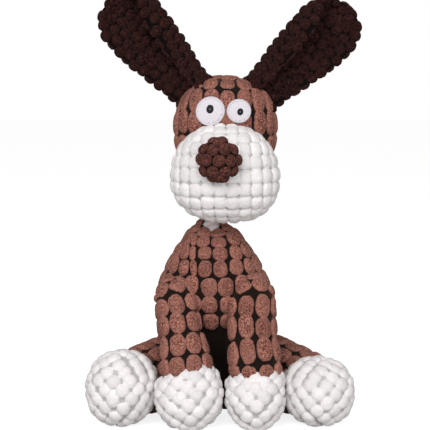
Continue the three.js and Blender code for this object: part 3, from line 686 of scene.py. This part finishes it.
def depth_in_torso(place):
    """How far out of the torso's skin a place is, as a share of the torso's size there."""
    wide, deep, lean, back = torso_at(min(max(place[2], 0), TORSO_HEIGHT))
    return math.hypot((place[0] - lean) / wide, (place[1] - back) / deep)


def chest_front(x, height):
    wide, deep, lean, back = torso_at(height)
    return back - deep * math.sqrt(1 - min(abs((x - lean) / wide), 1) ** 2)


SEWN_IN = -0.6 - COVER
FILLING_INSET = 4
leg_fillings = {}
CAP_SHARES = (0.35, 0.62, 0.82, 0.95, 0.9999)


def limb_bag(stations, root_reach, toe_reach, crest, inset, sides=36, steps=13):
    """A stuffed limb through stations of place, width and depth, rounded at both ends."""
    run = spline(stations, np.linspace(0, len(stations) - 1, steps))

    def cap(end, before, reach):
        way = way_of(end[:3] - before[:3]) * reach
        return [(*(end[:3] + way * s), *(end[3:] * math.sqrt(1 - s * s))) for s in CAP_SHARES]

    root = cap(run[0], run[1], root_reach)
    toe = cap(run[-1], run[-2], toe_reach)
    rows = np.array([*root[::-1], *run, *toe])
    halves = np.maximum(rows[:, 3:] / 2 - inset, 0.02)
    halves[0] = halves[-1] = 0.001
    return rings(rows[:, :3], halves[:, 0], halves[:, 1], crest, sides)


white_plush = cloth_finish(
    "white_plush",
    # deep: the grey in the pits between the bobbles, partly the backing's colour and partly painted shade
    deep=(0.42, 0.405, 0.41),
    pile=(0.71, 0.675, 0.675),
    bright=(0.765, 0.73, 0.725),
    # rim: the colour of the painted sheen along the bobbles' edges
    rim=(0.755, 0.72, 0.72),
    sheen=0.1,
    sheen_tint=(1, 1, 1),
    bump=0.35,
)


def sleeve_plush(name, skin, tufts):
    piece = plush(f"{name}_leg_plush", skin, tufts, brown_plush, COVER, **BRICK)
    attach(piece, f"{name}_leg")
    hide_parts(f"{name}_leg_sleeve")


def paw_plush(name, skin, tufts):
    piece = plush(f"{name}_paw_plush", skin, tufts, white_plush, BEAD_LIFT, **BEAD)
    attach(piece, f"{name}_leg")
    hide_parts(f"{name}_paw")


def front_leg(name, side, shoulder, paw_width, calf_width, inward, rows, offset, slant, rim, seed):
    """A front leg: rows are its cells' edges above the floor, rim the paw's edge and tilt."""
    shoulder_x, shoulder_height = shoulder
    shoulder_y = chest_front(shoulder_x, shoulder_height) - LEG_AHEAD
    paw_x = PAWS_MEET + side * (paw_width / 2 + 0.3)

    def at(share, height, width, depth, out=0.0):
        x = shoulder_x + (paw_x - shoulder_x) * share - side * out
        return (x, shoulder_y - LEG_REACH * share, height, width, depth)

    root_y = chest_front(shoulder_x, CHEST_CREASE) + 10
    sleeve_stations = [
        (shoulder_x - side * (inward + 4), root_y, CHEST_CREASE - 7, calf_width - 14, 14),
        at(0.05, 90.5, calf_width - 3, 26, inward),
        at(0.28, 79, calf_width - 1, 29.5, inward),
        at(0.55, 62, calf_width, 32, inward),
        at(0.8, FRONT_PAW_HEIGHT, 37.5, 37.5),
        at(0.88, FRONT_PAW_HEIGHT - 11, 34, 34),
    ]
    sleeve = limb_bag(sleeve_stations, 4, 5, (0, -1, 0), COVER, steps=17)
    skin = pressed(finer(filled(sleeve, 2.5, 1.4, first=4, last=7), 0.6, 176), SEWN_IN)
    edges = edges_at(skin, rows)
    edges = [max(edges[0] - 14, 0.5), edges[0] - 7, *edges]
    edges += [run_of(skin)[-1]]
    tufts = cells(skin, CELL_WIDTH, 0, seed, edges, offset=offset, slant=slant)
    tufts = [tuft for tuft in tufts if tuft["out"][1] < 0.3 or depth_in_torso(tuft["place"]) > 1.15]
    sleeve_plush(name, skin, tufts)

    toe = FRONT_PAW_HEIGHT / 2 - 0.5
    inner_stations = sleeve_stations[:-1] + [at(1, toe, paw_width, FRONT_PAW_DEPTH)]
    inner = limb_bag(inner_stations, 2, toe, (0, -1, 0), FILLING_INSET, steps=17)
    leg_fillings[f"{name}_leg"] = pressed(finer(inner, 3, 48), SEWN_IN - 1)

    rim_height, tilt, most = rim
    paw_stations = [
        at(0.79, rim_height, 27, 27),
        at(0.8, rim_height - 0.6, 37, 37),
        at(0.82, rim_height - 2.4, 43, 42),
        at(0.88, rim_height - 8.4, paw_width * 0.96, FRONT_PAW_DEPTH * 0.97),
        at(1, toe, paw_width, FRONT_PAW_DEPTH),
    ]
    paw = limb_bag(paw_stations, 0.5, toe + 0.5, (0, -1, 0), BEAD_LIFT, steps=19)
    high = np.clip((paw[..., 2] - toe) / (FRONT_PAW_HEIGHT - toe), 0, 1)
    paw[..., 2] += high * np.clip((paw[..., 0] - paw_x) * tilt, -7, most)
    paw = filled(paw, 2.5, 1.2, first=11)
    skin = finer(paw, 0.62, 208)
    half_widths = np.ptp(skin[..., 0], axis=1) / 2
    rim, end = run_of(skin)[np.argmax(half_widths > 13.5)], run_of(skin)[-1]
    edges = np.linspace(rim, end, round((end - rim) / PAW_ROW) + 1)
    tufts = cells(skin, PAW_COLUMN, 0, seed + 100, edges, bead=BOBBLE, size=BEAD_SIZE)
    paw_plush(name, skin, tufts)


front_leg(
    "right_front", -1, shoulder=(-34, 92), paw_width=49, calf_width=31, inward=0,
    rows=[94, 81.6, 67.6, 53, 38], offset=-0.35, slant=0.16, rim=(39.4, 0.28, 1), seed=21,
)
front_leg(
    "left_front", 1, shoulder=(23, 95), paw_width=43, calf_width=35, inward=1.7,
    rows=[95, 79.5, 64, 47.5, 32], offset=0.35, slant=0.0, rim=(36.4, 0.15, 2.5), seed=22,
)

# Hind legs
# Stuffed and sewn like the front legs, but laid flat ahead of the hips and reaching out
# to the sides. Each ends in a round white paw that rests on the floor.
HIP_WIDTH = 46
HIP_HEIGHT = 55
HIND_ANKLE = 40
HIND_PAW = 48
HIND_REACH = 52
FULLNESS = 2.25


def ball_bag(middle, halves, sides=48, steps=25, boxy=FULLNESS, turn=0.0):
    """A rounded bag with full shoulders, its poles at the bottom and the top."""
    rise = np.linspace(-math.pi / 2, math.pi / 2, steps)
    around = angles(sides)
    way = np.stack([
        np.cos(rise)[:, None] * np.sin(around),
        -np.cos(rise)[:, None] * np.cos(around),
        np.repeat(np.sin(rise)[:, None], sides, 1),
    ], 2)
    size = (np.abs(way) ** boxy).sum(2, keepdims=True) ** (-1 / boxy)
    point = way * size * np.asarray(halves, float)
    turned = point.copy()
    turned[..., 0] = point[..., 0] * math.cos(turn) - point[..., 1] * math.sin(turn)
    turned[..., 1] = point[..., 0] * math.sin(turn) + point[..., 1] * math.cos(turn)
    return turned + middle


def in_ball(place, middle, halves):
    return (np.abs((place - middle) / np.asarray(halves, float)) ** FULLNESS).sum() < 1


def hind_leg(name, side, front_paw_width, paw_height, seed):
    wide, deep, lean, back = torso_at(HIP_HEIGHT / 2)
    hip = np.array([lean + side * (wide - 6), back - 20])
    toe = np.array([PAWS_MEET + side * (front_paw_width + 0.9 + HIND_PAW / 2), hip[1] - HIND_REACH])

    def at(ahead, out, width, height):
        x = hip[0] + (toe[0] - hip[0]) * out
        return (x, hip[1] - HIND_REACH * ahead, height / 2 - 0.5, width, height)

    ankle_height = (HIP_HEIGHT + paw_height) / 2 * 0.9
    stations = [
        at(0, 0, HIP_WIDTH, HIP_HEIGHT),
        at(0.35, 0.52, (HIP_WIDTH + HIND_ANKLE) / 2, (HIP_HEIGHT + ankle_height) / 2),
        at(0.66, 0.88, HIND_ANKLE, ankle_height),
        at(0.8, 0.95, HIND_ANKLE - 3, ankle_height - 3),
    ]
    sleeve = limb_bag(stations, HIP_WIDTH / 2, 5, (0, 0, 1), COVER)
    skin = pressed(finer(filled(sleeve, 2.5, 1.4, first=4, last=7), 0.65, 208), SEWN_IN)
    tufts = cells(skin, CELL_WIDTH, CELL_LENGTH, seed)
    tufts = [tuft for tuft in tufts if depth_in_torso(tuft["place"]) > 0.97]
    sleeve_plush(name, skin, tufts)

    inner_stations = [*stations[:-1], at(1, 1, HIND_PAW, paw_height)]
    inner = limb_bag(inner_stations, HIP_WIDTH / 2 - 2, HIND_PAW / 2, (0, 0, 1), FILLING_INSET)
    leg_fillings[f"{name}_leg"] = pressed(finer(inner, 3, 48), SEWN_IN - 1)

    last, thigh = np.array(at(1, 1, 0, 0))[:2], np.array(stations[1])[:2]
    way = way_of(last - thigh)
    middle = np.array([*(last - way * 4), paw_height / 2])
    turn = math.atan2(way[0], -way[1])
    halves = np.array([HIND_PAW / 2, 28, paw_height / 2])
    paw = filled(ball_bag(middle, halves - BEAD_LIFT, turn=turn), 1.2, 0.8)
    skin = finer(paw, 0.62, 224)
    tufts = cells(skin, PAW_COLUMN, PAW_ROW, seed + 100, bead=BOBBLE, size=BEAD_SIZE)
    paw_plush(name, skin, tufts)


hind_leg("right_hind", -1, front_paw_width=49, paw_height=53, seed=31)
hind_leg("left_hind", 1, front_paw_width=43, paw_height=48, seed=32)

# Head and muzzle
# A ball of brown plush and a ball of white bobbled plush, sewn together down the face
# and filled as one.
HEAD_HALVES = np.array([37.5, 34, 38])
MUZZLE_HALVES = np.array([38, 31, 34.5])
HEAD_BEHIND = 30
PILLOW = {"boxy": 2.6, "steep": 2.7, "fuzz": 0.3}
MUZZLE_MIDDLE = NECK_MOUTH + (10, 7 - HEAD_BEHIND, 3 + MUZZLE_HALVES[2])
HEAD_MIDDLE = MUZZLE_MIDDLE + (0, HEAD_BEHIND, HEAD_BEHIND)

head = filled(ball_bag(HEAD_MIDDLE, HEAD_HALVES - COVER), 1.0, 0.8)
skin = finer(head, 0.7, 320)
face_edges = edges_at(skin, [187.6, 203.5, 220.2, 235.5])
crown_edges = np.linspace(face_edges[-1], run_of(skin)[-1], 3)[1:]
edges = [*np.linspace(0, face_edges[0], 4)[:-1], *face_edges, *crown_edges]
tufts = cells(skin, CELL_WIDTH * 0.98, 0, 41, edges, offset=0.13)
tufts = [tuft for tuft in tufts if not in_ball(tuft["place"], MUZZLE_MIDDLE, MUZZLE_HALVES - 12)]
head_piece = plush("head_plush", skin, tufts, brown_plush, COVER, **BRICK)
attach(head_piece, "head")
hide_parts("head_hood")

muzzle = ball_bag(MUZZLE_MIDDLE, MUZZLE_HALVES - BEAD_LIFT)
# The muzzle is fuller below than above, and its lowest bobbles hang to the toy's left
x, _, z = ((muzzle - MUZZLE_MIDDLE) / MUZZLE_HALVES).transpose(2, 0, 1)
muzzle[..., 0] += np.where(x > 0, -4.5 * z * x, (1 - 3 * z) * x) + 3 * np.clip(-z, 0, 1) ** 4
muzzle[..., 2] -= 1.2 * np.clip(-z, 0, 1) ** 2
muzzle = filled(muzzle, 1.0, 0.8)
skin = finer(muzzle, 0.62, 360)
tufts = cells(skin, BOBBLE, BOBBLE * 1.12, 42, offset=0.5, size=1.1)
tufts = [tuft for tuft in tufts if not in_ball(tuft["place"], HEAD_MIDDLE, HEAD_HALVES - 12)]
muzzle_piece = plush("muzzle_plush", skin, tufts, white_plush, BEAD_LIFT, **PILLOW)
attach(muzzle_piece, "head")
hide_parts("muzzle")

# Nose
# A small stuffed ball of very dark brown plush, sewn to the front of the muzzle. Its
# bobbles are large for its size, so it looks like a berry.
NOSE_SIZE = 25
NOSE_LIFT = 3.7
KNOB = {"boxy": 2.2, "steep": 2.1, "fuzz": 0.34}
NOSE_MIDDLE = MUZZLE_MIDDLE + (-5, -MUZZLE_HALVES[1] - NOSE_SIZE / 4, NOSE_SIZE / 2)
dark_plush = cloth_finish(
    "dark_plush",
    deep=(0.004, 0.002, 0.002),
    pile=(0.024, 0.0075, 0.006),
    bright=(0.15, 0.055, 0.043),
    # rim: the colour of the painted sheen along the bobbles' edges
    rim=(0.1, 0.037, 0.03),
    sheen=0.05,
    sheen_tint=(0.8, 0.5, 0.45),
)
nose = filled(ball_bag(NOSE_MIDDLE - (0, 0, 1.2), (12, 9.6, 12.5), boxy=2), 1.0, 0.5)
skin = finer(nose, 0.5, 176)
tufts = cells(skin, 8.6, 7.6, 51, bead=8.4)
nose_piece = plush("nose_plush", skin, tufts, dark_plush, NOSE_LIFT, **KNOB)
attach(nose_piece, "head")
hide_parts("nose")

# Ears
# Each ear is a front and a back panel of the dark plush, closed at the rim. The ear is
# hollowed like a spoon, folded tightest at its root, and its inner rim rolls forward.
EAR_LENGTH = 88
EAR_LIFT = 2.7
EAR_BOBBLE = 8
# The ears' copy of the dark plush is several times darker than the nose's: the difference is painted shade
ear_plush_painted_darker = cloth_finish(
    "ear_plush",
    deep=(0.003, 0.002, 0.002),
    pile=(0.0078, 0.0026, 0.0023),
    bright=(0.038, 0.0135, 0.011),
    # rim: the colour of the painted sheen along the bobbles' edges
    rim=(0.027, 0.0095, 0.008),
    sheen=0.02,
    sheen_tint=(0.8, 0.5, 0.45),
)
# Along the ear: outer and inner half width, outer and inner curl, half thickness
ear_rows = np.array([
    [17.5, 17.8, 45, 160, 1.4],
    [19.5, 19.4, 50, 168, 1.8],
    [21.6, 21.6, 48, 170, 2.0],
    [24.0, 23.4, 42, 170, 2.0],
    [25.4, 24.8, 38, 166, 2.0],
    [26.2, 25.8, 34, 158, 2.0],
    [26.4, 26.2, 32, 138, 2.0],
    [26.4, 25.6, 30, 95, 1.9],
    [26.4, 25.0, 28, 60, 1.8],
])
EAR_START = -0.07
EAR_TIP = 0.74
EAR_HOLLOW = 9


def ear_shares():
    """Shares of the ear's length at its rings, closer together where the tip is round."""
    tip = EAR_TIP + (1 - EAR_TIP) * np.sin(np.linspace(0.12, math.pi / 2, 11))
    return np.concatenate([[EAR_START, -0.06], np.linspace(-0.03, EAR_TIP, 18), tip])


def ear_section(outer, inner, outer_curl, inner_curl):
    """The middle line of the ear's cloth across it: bend, place across and depth."""
    place = np.linspace(-1, 1, 161)
    roll = np.clip((np.abs(place) - 0.27) / np.where(place < 0, 0.7, 0.57), 0, 1)
    bend = np.radians(np.where(place < 0, -outer_curl, inner_curl)) * roll**2 * (3 - 2 * roll)
    steps = (bend[1:] + bend[:-1]) / 2
    x = np.concatenate([[0], np.cumsum(np.cos(steps))])
    y = np.concatenate([[0], np.cumsum(-np.sin(steps))])
    x, y = x - x[80], y - y[80]
    scale = np.where(place < 0, outer / -x.min(), inner / x.max())
    return place, bend, x * scale, y * scale


def ear_bag(side, spread, sides=64):
    turn = math.radians(spread) * side
    up = np.array([math.sin(turn), 0, math.cos(turn)])
    inner_way = -side * np.array([math.cos(turn), 0, -math.sin(turn)])
    reach = (np.abs(up / HEAD_HALVES) ** FULLNESS).sum() ** (-1 / FULLNESS)
    root = HEAD_MIDDLE + up * (reach - 0.5)
    around = angles(sides)
    spot = np.sin(around)
    side_of = -np.sign(np.cos(around)) * np.abs(np.cos(around)) ** 0.7
    bag = []
    for share in ear_shares():
        row = np.array([np.clip(share, 0, 1) * (len(ear_rows) - 1)])
        outer, inner, outer_curl, inner_curl, thick = spline(ear_rows, row)[0]
        past = max((share - EAR_TIP) / (1 - EAR_TIP), 0)
        narrow = max(1 - past**2.1, 0) ** (1 / 2.1)
        thick *= max(1 - past**4, 0) ** 0.5
        if share == EAR_START:
            narrow = thick = 0.0001
        rim = EAR_LIFT + thick
        halves = (outer - rim) * narrow, (inner - rim) * narrow
        place, bend, x, y = ear_section(*halves, outer_curl, inner_curl)
        angle = np.interp(spot, place, bend)
        across = np.interp(spot, place, x) + np.sin(angle) * side_of * thick
        deep = np.interp(spot, place, y) + np.cos(angle) * side_of * thick
        deep += EAR_HOLLOW * math.sin(math.pi * min(max(share, 0), 1)) ** 0.7
        length = (EAR_LENGTH - EAR_LIFT) * share
        bag.append(root + up * length + inner_way * across[:, None] + np.array([0, 1, 0]) * deep[:, None])
    return np.array(bag)


for name, side, spread, seed in (("right", -1, 42, 61), ("left", 1, 46.5, 62)):
    skin = finer(ear_bag(side, spread), 0.6, 288)
    tufts = cells(skin, EAR_BOBBLE, EAR_BOBBLE * 0.94, seed, bead=EAR_BOBBLE, size=1.02)
    ear_piece = plush(f"{name}_ear_plush", skin, tufts, ear_plush_painted_darker, EAR_LIFT, **KNOB)
    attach(ear_piece, f"{name}_ear")
    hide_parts(f"{name}_ear_front", f"{name}_ear_back")

# Eyes
# White cloth patches edged with a raised satin-stitch border and sewn flat to the face,
# each with a black satin-stitched pupil.
EYE_SECTORS = 120
SEWN_BEHIND = 1.6


def thread_finish(name, base, dark, roughness, sheen, bands):
    """Close threads with fine holes between them, darker where the piece's tint says."""
    sewing = Finish(name, {"Roughness": roughness, "Specular IOR Level": 0.15, "Sheen Weight": sheen})

    def threads_along(way):
        node = sewing.nodes.new("ShaderNodeTexWave")
        node.bands_direction = way
        node.inputs["Scale"].default_value = bands
        node.inputs["Distortion"].default_value = 1.2
        node.inputs["Detail"].default_value = 2
        sewing.link(sewing.where, node.inputs["Vector"])
        return node.outputs["Fac"]

    def maths(operation, *values):
        node = sewing.nodes.new("ShaderNodeMath")
        node.operation = operation
        for socket, value in zip(node.inputs, values):
            sewing.feed(socket, value)
        return node.outputs[0]

    threads = threads_along("Z")
    holes = maths("MULTIPLY", threads, threads_along("X"))
    share = maths("MULTIPLY_ADD", holes, 0.16, sewing.attribute("tint"))
    return sewing.joined(sewing.mixed(share, base, dark), threads, 0.5, 0.0003)


eye_cloth = thread_finish("eye_cloth", (0.6, 0.565, 0.6), (0.1, 0.09, 0.11), 0.85, 0.05, 260)
pupil_thread = thread_finish("pupil_thread", (0.004, 0.004, 0.006), (0.09, 0.09, 0.11), 0.6, 0, 300)


def face_depth(x, z):
    """Y of the face's skin straight ahead of the head's middle."""
    share = np.abs((x - HEAD_MIDDLE[0]) / HEAD_HALVES[0]) ** FULLNESS
    share = share + np.abs((z - HEAD_MIDDLE[2]) / HEAD_HALVES[2]) ** FULLNESS
    return HEAD_MIDDLE[1] - HEAD_HALVES[1] * np.clip(1 - share, 0, 1) ** (1 / FULLNESS)


def patch(name, middle, width, height, tilt, profile, finish, stand, tints):
    """A sewn patch: its thickness over shares of its radius, on the face."""
    turn = angles(EYE_SECTORS)
    shares = np.concatenate([np.array([0.0005]), np.linspace(0.06, 1, 34)])
    front = []
    for share in shares:
        a, b = np.cos(turn) * share * width / 2, np.sin(turn) * share * height / 2
        x = middle[0] + a * math.cos(tilt) - b * math.sin(tilt)
        z = middle[1] + a * math.sin(tilt) + b * math.cos(tilt)
        rise = np.interp(share, *profile)
        if share > 0.84:
            rise = rise + 0.09 * np.cos(turn * 44) * (share < 0.99)
        front.append(np.stack([x, face_depth(x, z) * 0.7 + 0.3 * face_depth(*middle) - stand - rise, z], 1))
    back = []
    for share, ring in zip(shares[::-1], front[::-1]):
        back.append(ring + np.array([0, 1, 0]) * (np.interp(share, *profile) + SEWN_BEHIND))
    bag = np.array(front + back)
    bag[0], bag[-1] = bag[0].mean(0), bag[-1].mean(0)
    mesh, points = bag_mesh(name, bag)
    values = np.zeros(bag.shape[:2])
    for row, share in enumerate(shares):
        values[row] = tints(share, turn)
    flat = np.concatenate([[values[0, 0]], values[1:-1].ravel(), [values[-1, 0]]])
    mesh.attributes.new("tint", "FLOAT", "POINT").data.foreach_set("value", flat.astype(np.float32))
    piece = new_piece(name, mesh, finish, points)
    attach(piece, "head")
    return piece


def needle_holes(share, turn):
    """Small shadows where the border's stitches go through, most at the bottom."""
    wander = 0.79 + 0.035 * np.sin(turn * 7 + 1)
    ring = np.exp(-(((share - wander) / 0.04) ** 2)) * np.clip(-0.2 - np.sin(turn), 0, 0.6)
    dashes = np.sin(turn * 31) + 0.8 * np.sin(turn * 13 + 2) > 0.1
    return ring * dashes + 0.16 * math.exp(-(((share - 0.86) / 0.03) ** 2))


def pupil_gap(share, turn):
    return np.full(len(turn), 1.0 if share < 0.22 else 0.0)


patch_profile = ([0, 0.8, 0.86, 0.92, 0.97, 1], [0.9, 0.9, 1.3, 1.5, 1.2, 0])
pupil_profile = ([0, 0.6, 0.9, 1], [1.0, 0.9, 0.6, 0])
for name, middle, width, height, tilt, pupil, pupil_size in (
    ("right", (-7.9, 220.8), 21.2, 20.2, 0.7, (-8.1, 222.3), (5.4, 6.6)),
    ("left", (12.3, 220.9), 17.4, 17.0, 0.0, (13.2, 220.4), (4.4, 5.2)),
):
    eye = patch(f"{name}_eye_cloth", middle, width, height, tilt, patch_profile, eye_cloth, 0.4, needle_holes)
    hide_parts(f"{name}_eye_patch")
    dot = patch(f"{name}_pupil_stitch", pupil, *pupil_size, -0.2, pupil_profile, pupil_thread, 1.1, pupil_gap)
    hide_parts(f"{name}_pupil")

# Neck rope
# Three strands of white cotton laid into a rope as thick as a thumb, knotted inside the
# torso and again inside the head.
ROPE_LEAN = 7.5
STRAND_OUT = 3.3
STRAND_RADIUS = 3.9
ROPE_TWIST = 20
ROPE_DOWN = 27
ROPE_UP = 55
KNOTS = (-18, 46)
KNOT_REACH = 9.2
KNOT_SWELL = 1.33


def rope_bag(sides=96, steps=120):
    axis = np.array([math.sin(math.radians(ROPE_LEAN)), 0, math.cos(math.radians(ROPE_LEAN))])
    height = np.linspace(-ROPE_DOWN, ROPE_UP, steps)
    swell = np.ones(steps)
    for middle in KNOTS:
        near = np.clip(1 - ((height - middle) / KNOT_REACH) ** 2, 0, 1)
        swell = np.maximum(swell, 0.02 + KNOT_SWELL * np.sqrt(near))
    swell[[0, -1]] = 0.001
    # Past the middle of its knot, each end of the rope is rounded
    past = np.maximum(KNOTS[0] - height, height - KNOTS[1])
    ends = np.clip(1 - (past / (ROPE_UP - KNOTS[1])) ** 2, 0, 1)
    swell = np.where(past > 0, np.minimum(swell, 0.02 + KNOT_SWELL * np.sqrt(ends)), swell)
    turn = angles(sides)
    side = np.array([axis[2], 0, -axis[0]])
    bag = []
    for high, share in zip(height, swell):
        angle = turn - 2 * math.pi * high / ROPE_TWIST
        near = (angle + math.pi / 3) % (2 * math.pi / 3) - math.pi / 3
        radius = STRAND_OUT * np.cos(near) + np.sqrt(STRAND_RADIUS**2 - (STRAND_OUT * np.sin(near)) ** 2)
        x = np.sin(turn) * radius * share
        y = -np.cos(turn) * radius * share
        bag.append(NECK_MOUTH + axis * high + side * x[:, None] + np.array([0, 1, 0]) * y[:, None])
    bag = np.array(bag)
    bag[0], bag[-1] = bag[0].mean(0), bag[-1].mean(0)
    return bag


cotton = Finish("cotton_rope", {"Roughness": 0.9, "Sheen Weight": 0.3})
lie = cotton.nodes.new("ShaderNodeMapping")
lie.inputs["Scale"].default_value = (0.35, 0.35, 1)
cotton.link(cotton.where, lie.inputs["Vector"])
cotton.where = lie.outputs["Vector"]
yarns = cotton.noise(900, 4)
yarn_shades = cotton.mixed(yarns, (0.66, 0.58, 0.57), (0.84, 0.78, 0.77))
cotton_rope = cotton.joined(yarn_shades, yarns, 0.5, 0.0005)

mesh, points = bag_mesh("neck_rope_strands", rope_bag())
rope_piece = new_piece("neck_rope_strands", mesh, cotton_rope, points)
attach(rope_piece, "neck")
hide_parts("neck_rope")

# Fillings
# White polyester fibre fills the torso, the head and each leg. It is loose and lumpy, lies
# a little inside the cloth, and leaves the pockets for the squeaker and the rope's knots.
FILLING_SLACK = 0.8
LUMP = 9
VOXEL = 2.2

fleece = Finish("polyester_fibre", {"Roughness": 0.9, "Sheen Weight": 0.4})
curls = fleece.noise(400, 5, 2)
fleece_shades = fleece.mixed(curls, (0.74, 0.74, 0.71), (0.88, 0.88, 0.86))
polyester_fibre = fleece.joined(fleece_shades, curls, 0.5, 0.0008)


def merged(piece):
    """Joins the loose triangles of a copied CAD mesh."""
    bpy.ops.object.select_all(action="DESELECT")
    piece.select_set(True)
    bpy.context.view_layer.objects.active = piece
    bpy.ops.object.mode_set(mode="EDIT")
    bpy.ops.mesh.select_all(action="SELECT")
    bpy.ops.mesh.remove_doubles(threshold=1e-5)
    bpy.ops.object.mode_set(mode="OBJECT")


def filling(name, node, body, bag=None):
    """Loose fibre in the shape of its node, or of a bag inside the cloth."""
    points = None
    if bag is None:
        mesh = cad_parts[node].data.copy()
        mesh.name = name
    else:
        mesh, points = bag_mesh(name, bag)
    piece = new_piece(name, mesh, polyester_fibre, points)
    merged(piece)
    voxels = piece.modifiers.new("voxels", "REMESH")
    voxels.mode = "VOXEL"
    voxels.voxel_size = VOXEL * MM
    voxels.use_smooth_shade = True
    bpy.ops.object.modifier_apply(modifier="voxels")
    count = len(piece.data.vertices)
    points, normals = np.zeros(count * 3), np.zeros(count * 3)
    piece.data.vertices.foreach_get("co", points)
    piece.data.vertices.foreach_get("normal", normals)
    points = points.reshape(-1, 3)
    sink = FILLING_SLACK * (1.4 + rough(points / MM, LUMP, 5))
    points = points - normals.reshape(-1, 3) * (sink * MM)[:, None]
    if body == "torso":
        points[:, 2] -= mouth_dip(points / MM - shift) * MM
    piece.data.vertices.foreach_set("co", points.ravel())
    piece.data.update()
    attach(piece, body)
    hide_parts(node)


filling("torso_stuffing", "torso_filling", "torso")
filling("head_stuffing", "head_filling", "head")
for name, bag in leg_fillings.items():
    filling(f"{name}_stuffing", f"{name}_filling", name, bag)

# Squeaker
# A bellows of clear soft plastic on a base, with its reed clamped in the base's tube. The
# pieces are moulded, with a fine mould grain and a few cloudy streaks.
def plastic_finish(name, clear, cloudy, roughness, milky):
    plastic = Finish(name, {
        "Roughness": roughness,
        "Subsurface Weight": milky,
        "Subsurface Radius": (0.002, 0.002, 0.002),
    })
    streaks = plastic.mixed(plastic.noise(140, 3), clear, cloudy)
    return plastic.joined(streaks, plastic.noise(2500), 0.15, 0.0001)


bellows_plastic = plastic_finish("bellows_plastic", (0.72, 0.74, 0.71), (0.82, 0.83, 0.8), 0.4, 0.2)
reed_plastic = plastic_finish("reed_plastic", (0.86, 0.82, 0.74), (0.92, 0.88, 0.82), 0.35, 0.0)
for name in ("squeaker_base", "squeaker_cap", "reed_carrier", "reed_wedge", "reed"):
    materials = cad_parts[name].data.materials
    materials.clear()
    materials.append(reed_plastic if name == "reed" else bellows_plastic)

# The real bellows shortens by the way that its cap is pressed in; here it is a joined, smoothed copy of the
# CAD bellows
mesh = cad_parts["squeaker_bellows"].data.copy()
mesh.name = "folding_bellows"
bellows = new_piece("folding_bellows", mesh, bellows_plastic)
merged(bellows)
bpy.ops.object.shade_smooth_by_angle(angle=math.radians(35))
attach(bellows, "torso")
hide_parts("squeaker_bellows")
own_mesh(bellows)
